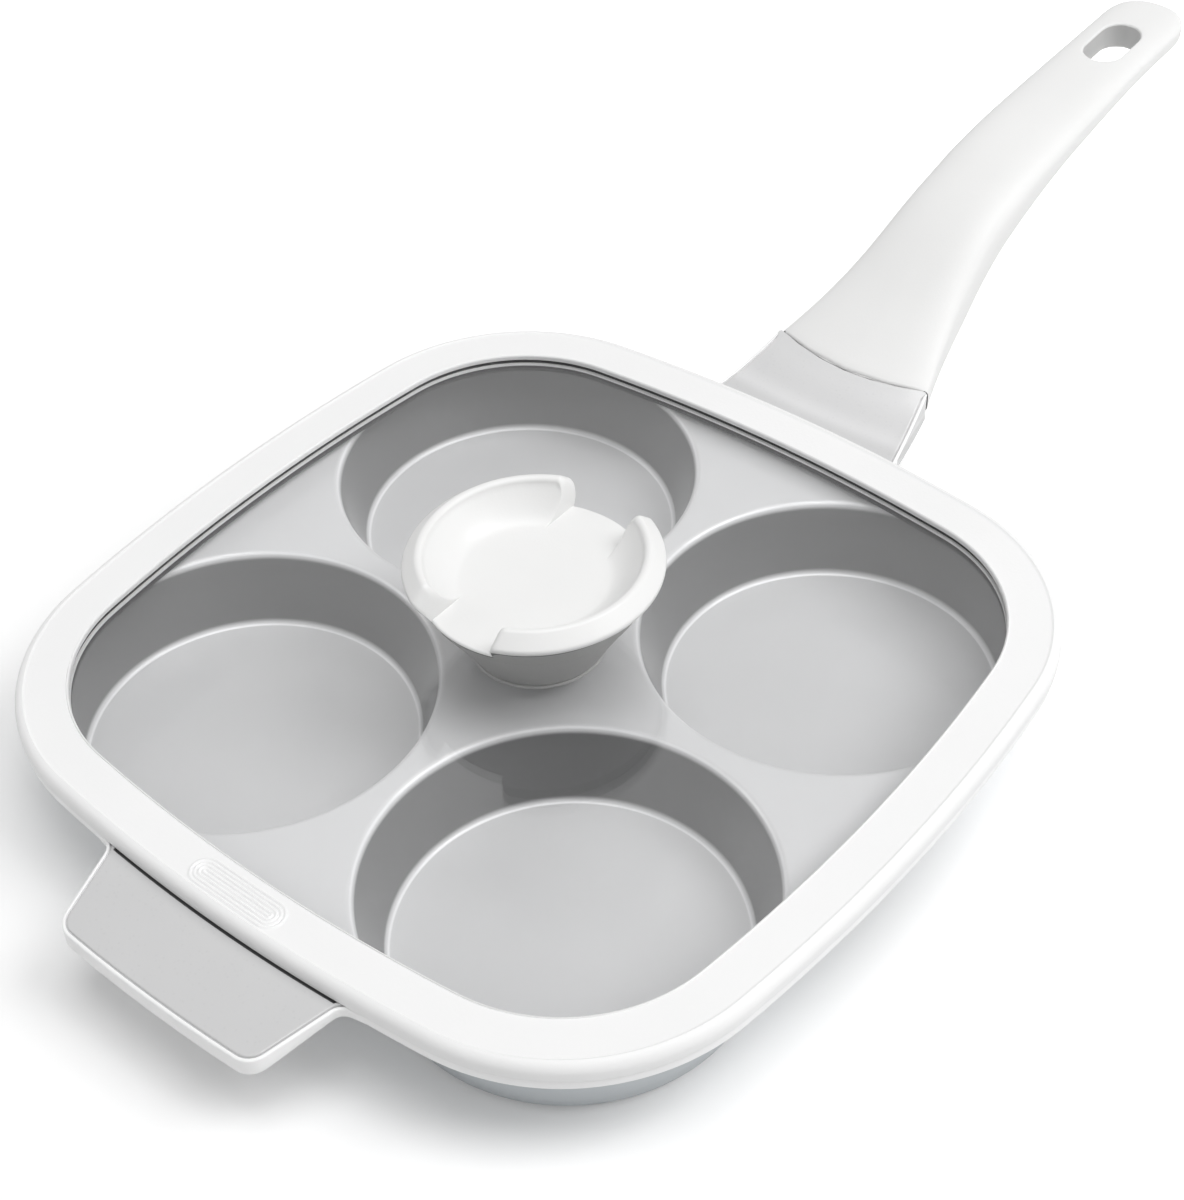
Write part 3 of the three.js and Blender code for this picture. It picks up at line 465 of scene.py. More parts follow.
class Graph:
    """A node tree being built: an input's value is linked where it is a socket, and set where it is not."""

    def __init__(self, tree):
        self.nodes, self.links = tree.nodes, tree.links

    def feed(self, node, inputs):
        for key, value in inputs.items():
            if isinstance(value, bpy.types.NodeSocket):
                self.links.new(value, node.inputs[key])
            else:
                node.inputs[key].default_value = value

    def add(self, kind, inputs, output=0, **options):
        """Adds a node and gives one of its outputs."""
        node = self.nodes.new("ShaderNode" + kind)
        for key, value in options.items():
            setattr(node, key, value)
        self.feed(node, inputs)
        return node.outputs[output]

    def maths(self, operation, first, second):
        return self.add("Math", {0: first, 1: second}, operation=operation)

    def span(self, value, low, high, start=0.3, end=0.7):
        """Maps value from start..end to low..high."""
        return self.add("MapRange", {
            "Value": value, "From Min": start, "From Max": end, "To Min": low, "To Max": high}, "Result")

    def tones(self, share, first, second, blend="MIX"):
        """A colour blended from two others."""
        return self.add(
            "Mix", {"Factor": share, "A": first, "B": second}, "Result", data_type="RGBA", blend_type=blend)

    def shares(self, place, stops):
        """Greys along place from 0 to 1, eased between the stops' places and shares."""
        node = self.nodes.new("ShaderNodeValToRGB")
        node.color_ramp.interpolation = "EASE"
        for stop, _ in stops[1:-1]:
            node.color_ramp.elements.new(stop)
        for element, (stop, share) in zip(node.color_ramp.elements, stops):
            element.position, element.color = stop, (share, share, share, 1)
        self.feed(node, {"Fac": place})
        return node.outputs["Color"]


class Finish(Graph):
    """A new material with one Principled shader, patterned by its Object coordinates."""

    def __init__(self, name):
        self.material = bpy.data.materials.new(name)
        self.material.use_nodes = True
        super().__init__(self.material.node_tree)
        self.coords = self.add("TexCoord", {}, "Object")

    def noise(self, scale, detail=2.0):
        return self.add("TexNoise", {"Vector": self.coords, "Scale": scale, "Detail": detail}, "Fac")

    def bump(self, height, depth):
        return self.add("Bump", {"Height": height, "Distance": depth}, "Normal")

    def done(self, **inputs):
        """Feeds the shader, whose inputs are named with _ for a space, and gives the material."""
        shader = self.nodes["Principled BSDF"]
        self.feed(shader, {key.replace("_", " "): value for key, value in inputs.items()})
        return self.material


def opaque(tint, share=1.0):
    """A share of a colour, kept at or below white, with full cover."""
    return (*np.minimum(np.array(tint) * share, 1), 1)


def satin(name, tint, roughness, drift, grain, depth, spread=0.05, flecks=0.0, coat=0.0, shades=None):
    """A painted or moulded finish: a broad drift in tone and gloss, a fine grain, and flecks where asked.

    With shades = (low, high, stops), the tone is multiplied by the stops' shares between two heights, which
    paints light and shade by height."""
    finish = Finish(name)
    broad = finish.noise(BROAD_SCALE, 3.0)
    base = finish.tones(finish.span(broad, 0, 1), opaque(tint, 1 - drift), opaque(tint, 1 + drift))
    if flecks:
        cells = finish.add("TexVoronoi", {"Vector": finish.coords, "Scale": FLECK_SCALE}, "Distance")
        base = finish.tones(finish.span(cells, flecks, 0.0, 0.05, 0.28), base, opaque(tint, FLECK_TONE))
    if shades:
        low, high, stops = shades
        height = finish.add("SeparateXYZ", {"Vector": finish.coords}, "Z")
        shade = finish.shares(finish.span(height, 0, 1, low, high), stops)
        base = finish.tones(1.0, base, shade, "MULTIPLY")
    return finish.done(
        Base_Color=base,
        Roughness=finish.span(broad, roughness - spread, roughness + spread),
        Normal=finish.bump(finish.noise(grain, 3.0), depth),
        Coat_Weight=coat,
        Coat_Roughness=COAT_ROUGHNESS,
    )


def turned_metal(name, tint, centre, pitch=0.0006, roughness=0.3):
    """Lathe-turned metal: fine rings about a vertical axis in tone, gloss and relief."""
    finish = Finish(name)
    place = finish.add("Mapping", {"Vector": finish.coords, "Location": (-centre[0], -centre[1], 0)})
    rings = finish.add(
        "TexWave", {"Vector": place, "Scale": WAVE_PITCH / pitch, "Distortion": 0.6, "Detail": 2.0}, "Fac",
        wave_type="RINGS", rings_direction="Z")
    return finish.done(
        Base_Color=finish.tones(rings, opaque(tint, 0.82), opaque(tint)),
        Roughness=finish.span(rings, roughness - 0.06, roughness + 0.1, 0, 1),
        Normal=finish.bump(rings, 0.00003),
        Metallic=1.0,
    )


def clear_pane(name, tint):
    """Clear glass that bends and mirrors light, with faint dust in its gloss, and lets lamps through."""
    finish = Finish(name)
    dust = finish.span(finish.noise(60.0, 4.0), 0.0, 0.03)
    material = finish.done(Base_Color=opaque(tint), Transmission_Weight=1.0, IOR=1.5, Roughness=dust)
    path = finish.nodes.new("ShaderNodeLightPath").outputs
    passing = finish.maths("MAXIMUM", path["Is Shadow Ray"], path["Is Diffuse Ray"])
    clear = finish.add("BsdfTransparent", {"Color": opaque(tint)})
    glass = finish.nodes["Principled BSDF"].outputs["BSDF"]
    blend = finish.add("MixShader", {"Fac": passing, 1: glass, 2: clear})
    finish.feed(finish.nodes["Material Output"], {"Surface": blend})
    return material


def shared(name, make, *values, **options):
    """The finish of that name, made the first time it is asked for."""
    return bpy.data.materials.get(name) or make(name, *values, **options)


def painted(name, tint, shades=None):
    """The painted or moulded finish of that name in a colour."""
    return shared(name, satin, tint, shades=shades, **SATINS[name])


# Pan


def cup_inside(pan):
    """Profile of a cup from the middle of its floor, up its leaning wall and over its lip to the deck."""
    deck = pan.flange_level - pan.deck_drop
    floor = deck - pan.cup_depth
    lean = np.degrees(np.arctan2(pan.cup_lean, pan.cup_depth))
    tangent = np.tan(np.radians(90 - lean) / 2)
    foot = pan.cup_mouth - pan.cup_lean
    low = arc(foot - pan.cup_fillet * tangent, floor + pan.cup_fillet, pan.cup_fillet, -90, -lean, 9)
    lip = arc(pan.cup_mouth + pan.cup_lip * tangent, deck - pan.cup_lip, pan.cup_lip, 180 - lean, 90, 12)
    middle = np.linspace(low[-1], lip[0], 5)[1:-1]
    flat = np.stack([np.linspace(0, low[0, 0], 6)[:-1], np.full(5, floor)], axis=1)
    return np.concatenate([flat, low, middle, lip])


def cup_outside(pan):
    """Profile of a cup from under the deck down its outer wall, round its foot and into its recess."""
    bottom = pan.flange_level - pan.deck_drop - pan.deck_thickness
    foot = pan.cup_mouth - pan.cup_lean + pan.cup_wall
    mouth = pan.cup_mouth + pan.cup_wall
    centre = np.array((foot - pan.foot_round, CAST_BOTTOM + pan.foot_round))
    away = np.array((mouth, bottom)) - centre
    start = np.arctan2(away[1], away[0]) - np.arccos(pan.foot_round / np.hypot(*away))
    low = arc(*centre, pan.foot_round, np.degrees(start), -90, 10)
    play = pan.disc_play
    recess, roof = DISC_RADIUS + play, DISC_TOP + pan.disc_roof
    rest = [(recess + play, CAST_BOTTOM), (recess, CAST_BOTTOM + play),
            (recess, roof), (recess / 2, roof), (0, roof)]
    wall = np.linspace((mouth, bottom), low[0], 5)[:-1]
    return np.concatenate([wall, low, rest])


def top_level(x, y, pan):
    """Height of the flange's top: level round the lid, falling along the tab, curving up along the lug."""
    reach = LID_REACH - pan.lid_overhang
    out = np.clip((-y - reach) / pan.tab_length, 0, 1.2)
    start, run = LID_REACH + pan.lug_start, pan.lug_length - pan.lug_start
    bowed = pan.joint_bow * np.clip((y - start) / run, 0, 1) * (1 - np.clip(x / pan.lug_joint, -1, 1) ** 2)
    along = y + bowed - start
    along = (along + np.sqrt(along ** 2 + pan.lug_ease ** 2)) / 2
    curve = (pan.lug_rise - pan.lug_slope * run) / run ** 2
    rise = pan.lug_slope * along + curve * along ** 2
    return pan.flange_level - pan.tab_drop * out + np.where(y > 0.8 * LID_REACH, rise, 0)


def depth_below(y, pan):
    """Thickness under the top: the flange's, growing out along the tab and the lug."""
    reach = LID_REACH - pan.lid_overhang
    out = np.clip((-y - reach) / pan.tab_length, 0, 1)
    along = np.clip((y - LID_REACH) / pan.lug_length, 0, 1)
    return (pan.flange_thickness + (pan.tab_thickness - pan.flange_thickness) * out
            + (pan.lug_depth - pan.flange_thickness) * along)


def tab_edge(pan, start, count):
    """Half of the tab's edge, from its middle to the point start: a bowed end, a round corner, a fillet."""
    reach = LID_REACH - pan.lid_overhang
    end = -reach - pan.tab_length
    root_y = mix(-reach, start[1], 0.35)
    lean = (pan.tab_root - pan.tab_end) / pan.tab_length
    root = (pan.tab_root + lean * (reach + root_y), root_y)
    bow = [(pan.tab_end * share, end - pan.tab_bow * (1 - share ** 2)) for share in (0, 0.3, 0.6)]
    corners = [*bow, (pan.tab_end, end), root, start]
    bow_round = 0.1
    return rounded(corners, [bow_round, bow_round, pan.tab_corner, pan.tab_fillet], count)


def lug_edge(pan, start, count):
    """Half of the lug's edge from the joint's middle to the point start on the flange."""
    joint = LID_REACH + pan.lug_length
    root_y = mix(LID_REACH - pan.lid_overhang, start[1], 0.6)
    lean = (pan.lug_root - pan.lug_joint) / pan.lug_length
    root = (pan.lug_root + lean * (LID_REACH - root_y), root_y)
    bow = [(pan.lug_joint * share, joint - pan.joint_bow * (1 - share ** 2)) for share in (0, 0.33, 0.67)]
    corners = [*bow, (pan.lug_joint, joint), root, start]
    bow_round = 0.03
    return rounded(corners, [bow_round, bow_round, pan.lug_corner, pan.lug_fillet], count)


# The casting's finishes by their place in its list
COATING, ENAMEL, BODY, SEAM_SHADE, TRAY = range(5)
# Steps along half of the tab's edge, and along half of the lug's
EDGE_STEPS = 64


def level(plan, height):
    """Points seen from above, lifted to one height or to a height each."""
    return np.concatenate([plan, np.broadcast_to(height, len(plan))[:, None]], axis=1)


def tray_insets(pan):
    """Insets of the inner face of the wall round the deck, and of the deck's edge above and below."""
    face = pan.lid_overhang + pan.flange_width
    return face, face + pan.tray_fillet, face - pan.tray_wall + pan.tray_fillet


def casting_edge(pan, quarters, turns):
    """The casting's edge seen from above, with the tab and the lug let in, and its outward normals."""
    edge = outline(turns, pan.lid_overhang, pan)
    back_middle = len(quarters[0]) - 1
    front_middle = sum(len(quarter) - 1 for quarter in quarters[:3])
    steps = np.arange(EDGE_STEPS + 1)
    for shape, middle, way in ((tab_edge, front_middle, 1), (lug_edge, back_middle, -1)):
        half = shape(pan, edge[middle + way * EDGE_STEPS], EDGE_STEPS + 1)
        edge[middle + way * steps] = half
        edge[middle - way * steps] = half * (-1, 1)
    along = np.roll(edge, -1, axis=0) - np.roll(edge, 1, axis=0)
    out = np.stack([along[:, 1], -along[:, 0]], axis=-1)
    return edge, out / np.linalg.norm(out, axis=1, keepdims=True)


def flange_part(pan, quarters, turns):
    """The flange: from the deck up the wall round it, out to the casting's edge, and back underneath.

    A column runs from the wall to the edge. The top's rows are even shares of that run, apart from a seam
    across the tab's root, and a groove with a white band that follow the edge."""
    tray, deck_edge, under_edge = tray_insets(pan)
    deck = pan.flange_level - pan.deck_drop
    bottom = deck - pan.deck_thickness
    fillet, lip, rounding = pan.tray_fillet, pan.tray_lip, pan.edge_round
    band, groove = pan.edge_band, pan.groove
    edge, out = casting_edge(pan, quarters, turns)
    normal = np.stack([np.cos(turns), np.sin(turns)], axis=-1)

    def at(inset):
        return outline(turns, inset, pan)

    def topped(plan, drop=0.0):
        return level(plan, top_level(plan[:, 0], plan[:, 1], pan) - drop)

    def bottomed(plan, lift=0.0):
        x, y = plan.T
        return level(plan, top_level(x, y, pan) - depth_below(y, pan) + lift)

    # Up the wall round the deck
    rows = [level(at(deck_edge), deck)]
    rows += [level(at(i), z) for i, z in arc(deck_edge, deck + fillet, fillet, -90, -180, 4)[1:]]
    rows += [level(at(i), z) for i, z in arc(tray - lip, pan.flange_level - lip, lip, 0, 90, 5)]

    # Across the top. At the joint, the edge's insets shrink and its groove isn't sunk. On the tab, the seam
    # is sunk, and elsewhere its rows are even shares
    at_joint = smooth((out[:, 1] - 0.35) / 0.4) * (edge[:, 1] > LID_REACH)
    inset = (1 - 0.8 * at_joint)[:, None]
    inner, outer = at(tray - lip), edge - out * inset * (band + 2.4 * groove)
    run = ((outer - inner) * normal).sum(axis=1)
    on_tab = smooth((run - tray) / 0.001) * (edge[:, 1] < 0)
    seam = (tray - lip + groove * np.array([[-0.4], [0.0], [0.6], [1.2], [1.6]])) / run
    seam = mix(np.linspace(0.2, 0.4, 5)[:, None], seam, on_tab)
    first_seam = len(rows)
    rows += [topped(mix(inner, outer, share[:, None]), on_tab * groove * deep)
             for share, deep in zip(seam, (0, 1.5, 1.8, 1.5, 0))]
    rows += [topped(mix(inner, outer, mix(seam[-1], 1, share)[:, None]))
             for share in np.linspace(0, 1, 11)[1:]]

    # Through the groove and over the edge's round
    coated = len(rows) - 1
    turn = np.linspace(0, QUARTER, 4)
    insets = band + groove * np.concatenate([2 - np.sin(turn), [0.85, 0.15, 0], 0.6 * np.cos(turn) - 0.6])
    depths = np.concatenate([1 - np.cos(turn), [1.4, 1.4, 1.0], 0.6 - 0.6 * np.sin(turn)])
    sunk = groove * (1 - at_joint)
    rows += [topped(edge - out * inset * far, sunk * deep) for far, deep in zip(insets, depths)]
    rows += [topped(edge - out * inset * (rounding - i), rounding - z)
             for i, z in arc(0, 0, rounding, 90, 0, 5)]

    # Down the side and back underneath to the wall
    edge_low, low = len(rows) - 1, 2 * rounding
    rows += [bottomed(edge - out * inset * (low - i), low + z) for i, z in arc(0, 0, low, 0, -90, 5)]
    under, wall = edge - out * inset * low, at(tray - pan.tray_wall)
    rows += [bottomed(mix(under, wall, share)) for share in np.linspace(0, 1, 10)[1:]]
    edged = len(rows) - 1
    rows += [level(wall, bottom + fillet), level(at(under_edge), bottom)]

    bands = np.full((len(rows) - 1, len(turns)), COATING)
    groove_outer = coated + 6
    bands[groove_outer:] = ENAMEL
    # Painted shade: along the lug, the white side and underside take the grey coating
    bands[edge_low:, edge[:, 1] > LID_REACH + pan.lug_side_shade_start] = COATING
    bands[:, at_joint > 0.5] = COATING
    # Painted shade: the sunk line across the tab's root, under the ring's skirt, is near-black
    bands[first_seam:first_seam + 4, on_tab > 0.5] = SEAM_SHADE
    bands[edged:] = BODY
    return sheet(np.stack(rows), True, bands)


def cup_parts(pan, quarters, turns):
    """Four cups with their share of deck, above and below.

    Each cup's columns are rays from its centre to points of its quarter's edge, and its lip is narrowed
    where the deck leaves less room."""
    _, deck_edge, under_edge = tray_insets(pan)
    deck = pan.flange_level - pan.deck_drop
    faces = ((cup_inside(pan), deck_edge, deck, TRAY),
             (cup_outside(pan)[::-1], under_edge, deck - pan.deck_thickness, BODY))
    share = np.linspace(0, 1, 45)[1:, None]
    parts, first = [], 0
    for quarter, way in zip(quarters, ((1, 1), (-1, 1), (-1, -1), (1, -1))):
        picked = np.arange(first, first + len(quarter)) % len(turns)
        first += len(quarter) - 1
        centre = np.array(way) * CUP_OFFSET
        for profile, inset, height, finish in faces:
            ring = outline(turns, inset, pan)[picked]
            loop = np.concatenate([ring, ring[-1] * (1 - share), ring[0] * share[:-1]])
            spoke = loop - centre
            room = np.linalg.norm(spoke, axis=1)
            spoke /= room[:, None]
            lip_width = np.clip(profile[:, :1] - pan.cup_mouth, 0, None)
            squeeze = np.clip((room - pan.cup_mouth - pan.lip_room) / lip_width.max(), 0, 1)
            radius = profile[:, :1] - lip_width * (1 - squeeze)
            cup = np.concatenate([
                centre + radius[..., None] * spoke,
                np.broadcast_to(profile[:, 1:, None], (len(profile), len(loop), 1)),
            ], axis=-1)
            rim = level(loop, height)
            grid = np.concatenate([cup, mix(cup[-1], rim, 0.5)[None], rim[None]])
            parts.append(sheet(grid, True, finish))
    return parts


def casting_parts(pan):
    """The pan as grids, with columns closer together along the tab and the lug."""
    tab_zone, lug_zone = 0.047, 0.038
    front = half_side(pan, tab_zone, EDGE_STEPS, 8)
    back = half_side(pan, lug_zone, EDGE_STEPS, 10)
    quarters, turns = round_trip(pan, front, half_side(pan, SIDE_ZONE, 16, 14), back, 34)
    return [flange_part(pan, quarters, turns), *cup_parts(pan, quarters, turns)]


# Handle


# The grip's finishes by their place in its list
PLASTIC, JOINT_SHADE, SHADED_HOLE_WALL = range(3)


def grip_parts(pan, handle):
    """The grip as half sections mirrored at x = 0, with a hanging hole and two screw recesses.

    A section is a superellipse of its own width, depth and powers. Beside the hole it starts at the hole's
    edge instead of the middle, and the hole's wall joins its upper and lower ends."""
    joint = LID_REACH + pan.lug_length
    tip, reach = GRIP_TIP, GRIP_TIP - joint
    top = pan.flange_level + pan.lug_rise
    share = np.linspace(0, 1, 400)[:, None]
    ends = np.array([
        (joint, top),
        (joint + handle.start_share * reach, top + handle.start_share * reach * handle.start_slope),
        (tip - handle.end_share * reach, top + handle.rise - handle.end_share * reach * handle.end_slope),
        (tip, top + handle.rise),
    ])
    curve = ((1 - share) ** 3 * ends[0] + 3 * share * (1 - share) ** 2 * ends[1]
             + 3 * share ** 2 * (1 - share) * ends[2] + share ** 3 * ends[3])

    # The hanging hole and the screws
    radius = handle.hole_width / 2
    straight = handle.hole_length / 2 - radius
    hole_y = tip - handle.hole_margin - handle.hole_length / 2
    washers = [measured(f"handle_washer_{n}") for n in (1, 2)]
    screw_ys = [y - AXIS_Y for _, y, _, _, _ in washers]
    seats = [washer[-1] + handle.screw_seat for washer in washers]

    # Stations along the grip, closer together at its ends, its hole and its recesses
    bend = np.linspace(-QUARTER, QUARTER, 15)
    hole_ys = np.concatenate([
        hole_y - straight - radius + radius * (1 + np.sin(bend[:8])),
        np.linspace(hole_y - straight, hole_y + straight, 7)[1:-1],
        hole_y + straight + radius * np.sin(bend[7:]),
    ])
    near = handle.hole_round * np.array([0.12, 0.35, 0.65, 1.0])
    recess_ys = [y + handle.screw_recess * np.sin(bend) for y in screw_ys]
    start = handle.joint_gap + handle.joint_round * (1 - np.cos(np.linspace(0, QUARTER, 5)))
    nose = tip - handle.tip_round * (1 - np.sin(np.linspace(0, QUARTER, 16)))
    body = np.linspace(joint + 0.003, tip - handle.tip_round, 60)
    stations = np.unique(np.round(np.concatenate([
        joint + start, body, nose, hole_ys, hole_ys[0] - near, hole_ys[-1] + near, *recess_ys]), 9))

    # Width, depth, height and powers of each station's section
    along = np.clip(stations - joint, handle.joint_gap, None)
    flare = np.clip(1 - along / handle.flare, 0, 1)
    into = np.clip((along - reach + handle.tip_round) / handle.tip_round, 0, 1)
    plan = (1 - into ** handle.tip_square) ** (1 / handle.tip_square)
    thinned = (1 - plan) * handle.tip_thinning
    edge = np.clip(handle.joint_round - (along - handle.joint_gap), 0, handle.joint_round)
    drawn = handle.joint_round - np.sqrt(handle.joint_round ** 2 - edge ** 2)
    straight_half = mix(handle.half_width, handle.end_half_width, smooth((along / reach - 0.3) / 0.6))
    width = np.maximum(mix(straight_half, pan.lug_joint, flare ** 2) * plan - drawn, 1e-6)
    swell = smooth(along / handle.belly_distance)
    fall = smooth((along - handle.belly_distance) / handle.flare)
    depth = mix(mix(pan.lug_depth, handle.belly_depth, swell), handle.depth, fall)
    depth = mix(depth, handle.end_depth, smooth((along / reach - 0.5) / 0.35))
    crown = np.interp(stations, curve[:, 0], curve[:, 1]) - depth / 2 * thinned - drawn
    depth = depth * (1 - thinned) - 2 * drawn
    powers = (mix(handle.top_square, handle.joint_top_square, flare),
              mix(handle.bottom_square, handle.joint_bottom_square, flare))
    middle = crown - depth / 2

    # Half-widths of the hole and the recesses at each station
    past = np.abs(stations - hole_y) - straight
    in_hole = past <= radius + SLACK
    hole = np.where(in_hole, np.sqrt(radius ** 2 - np.clip(past, 0, radius) ** 2), 0)
    recess = np.maximum(*[
        np.sqrt(np.clip(handle.screw_recess ** 2 - (stations - y) ** 2, 0, None)) for y in screw_ys])

    def half_face(inner, power, sign):
        """From the inner edge to the side: close steps for the hole's round, then the superellipse."""
        close = np.minimum(handle.hole_round, (width - inner) / 2)
        first = inner[:, None] + close[:, None] * (1 - np.cos(np.linspace(0, QUARTER, 7)))
        fan = np.cos(np.linspace(QUARTER, 0, 20))[1:] ** (2 / power[:, None])
        last = (inner + close)[:, None] + (width - inner - close)[:, None] * fan
        x = np.concatenate([first, last], axis=1)
        ratio = np.clip(x / width[:, None], 0, 1)
        lift = (1 - ratio ** power[:, None]) ** (1 / power[:, None])
        z = middle[:, None] + sign * depth[:, None] / 2 * lift
        off = np.hypot(x, np.clip(past, 0, None)[:, None]) - radius
        into_round = np.clip(handle.hole_round - off, 0, handle.hole_round)
        z -= sign * (handle.hole_round - np.sqrt(handle.hole_round ** 2 - into_round ** 2))
        y = stations[:, None] - pan.joint_bow * flare[:, None] * (1 - ratio ** 2)
        return np.stack([x, y, z], axis=-1)

    # Upper and lower faces, and the end at the joint with a dark band of painted shade down its side
    upper = half_face(hole, powers[0], 1)
    lower = half_face(np.maximum(hole, recess), powers[1], -1)
    shell = np.concatenate([upper, lower[:, -2::-1]], axis=1)
    sag = pan.joint_bow * flare[0] * (shell[0, :, :1] / width[0]) ** 2
    cap = np.stack([shell[0] * (s, 1, 1) - sag * (0, 1 - s ** 2, 0) for s in (0, 0.5)])
    bands = np.full((len(cap) + len(shell) - 1, shell.shape[1] - 1), PLASTIC)
    on_side = shell[0, :-1, 0] > 0.95 * width[0]
    # Painted shade: the joint's gap is dark on the grip's sides
    bands[:len(cap) + 3, on_side] = JOINT_SHADE
    parts = [sheet(np.concatenate([cap, shell]), False, bands)]

    # The hole's wall and the recesses' roofs
    share = np.linspace(0, 1, 6)[None, :, None]
    # The hole's wall takes the darker finish, painted shade for the hole's inside
    parts.append(sheet(mix(lower[in_hole, :1], upper[in_hole, :1], share), False, SHADED_HOLE_WALL))
    for y, seat in zip(screw_ys, seats):
        rim = lower[np.abs(stations - y) <= handle.screw_recess + SLACK, 0]
        roof = level(rim[:, :2], seat)
        parts.append(sheet(np.stack([rim, roof, roof * (0.5, 1, 1), roof * (0, 1, 1)], axis=1)))
    return parts + [mirrored(part) for part in parts]


# Lid


# The ring's finishes by their place in its list
SILICONE, SLOT_SHADE = range(2)


def ring_profile(lid):
    """The ring's profile as insets and heights, over its top and round its slot, and its finishes."""
    top, seat = RIM_TOP, RIM_TOP - lid.skirt
    inner, tuck = lid.lip_width, lid.plug_round
    under = arc(lid.bottom_round, seat + lid.bottom_round, lid.bottom_round, -90, -180, 5)
    over = arc(lid.top_round, top - lid.top_round, lid.top_round, 180, 90, 10)
    lip = arc(inner - lid.lip_round, top - lid.lip_round, lid.lip_round, 90, 0, 6)
    flat = np.linspace(over[-1], lip[0], 46)[1:-1]
    slot_top, slot_low = GLASS_TOP + lid.slot_play, GLASS_BOTTOM - lid.slot_play
    toe = arc(inner - tuck, RIM_BOTTOM + tuck, tuck, 0, -90, 4)
    heel = arc(lid.plug_inset + tuck, RIM_BOTTOM + tuck, tuck, -90, -180, 4)
    rest = [(inner, slot_top), (lid.slot_inset, slot_top), (lid.slot_inset, slot_low),
            (inner - lid.gap_shade_inset, slot_low), (inner, slot_low), (inner, slot_low - tuck)]
    ends = [(lid.plug_inset, seat)]
    path = np.concatenate([ends, under, over, flat, lip, rest, toe, heel, ends])
    first = 1 + len(under) + len(over) + len(flat) + len(lip)
    bands = np.full(len(path) - 1, SILICONE)
    # Painted shade: the glass's slot and the plug's lower inner face are near-black, where shade falls
    # under the lip
    bands[first:first + 3] = SLOT_SHADE
    bands[first + 5:first + 9] = SLOT_SHADE
    return path, bands


def ring_parts(pan, lid):
    """The ring's profile carried round the lid's outline, with the thumb grip's ridges raised on its top.

    The ridges are a cosine of the distance from a short straight line, so they lie inside each other."""
    dense = half_side(pan, lid.grip_length / 2 + 0.002, 76, 16)
    plain = half_side(pan, SIDE_ZONE, 14, 14)
    _, turns = round_trip(pan, dense, plain, plain, 34)
    profile, bands = ring_profile(lid)
    plan = outline(turns[None, :], profile[:, :1], pan)
    middle = -(LID_REACH - lid.grip_inset)
    radius = lid.grip_width / 2
    straight = lid.grip_length / 2 - radius
    off = np.hypot(np.clip(np.abs(plan[..., 0]) - straight, 0, None), plan[..., 1] - middle) / radius
    ridge = lid.grip_height * (1 - np.cos(2 * np.pi * lid.grip_ridges * off)) / 2 * (off < 1)
    on_top = (profile[:, 1] > RIM_TOP - 1e-6)[:, None]
    height = profile[:, 1:] + np.where(on_top, ridge, 0) - lid.grip_height * 1.01 * on_top
    return [sheet(np.concatenate([plan, height[..., None]], axis=-1), True, bands)]


def pane_parts(pan, lid):
    """The pane: from its hole out to its edge on top, round a small bevel, and back underneath."""
    side = half_side(pan, SIDE_ZONE, 10, 10)
    _, turns = round_trip(pan, side, side, side, 20)
    low, high, bevel = GLASS_BOTTOM, GLASS_TOP, lid.pane_bevel
    hole = lid.pane_hole * np.stack([np.cos(turns), np.sin(turns)], axis=-1)
    rim, inner = outline(turns, lid.pane_inset, pan), outline(turns, lid.pane_inset + bevel, pan)
    rows = [(hole, high)] + [(mix(hole, inner, s), high) for s in (0.3, 0.65, 1.0)]
    rows += [(rim, high - bevel), (rim, low + bevel)]
    rows += [(mix(hole, inner, s), low) for s in (1.0, 0.65, 0.3)] + [(hole, low), (hole, high)]
    grid = np.stack([level(plan, z) for plan, z in rows])
    return [sheet(grid, True)]


# Knob


# The dish's finishes by their place in its list
DISH, SKIRT, RIM_SHADOW = range(3)


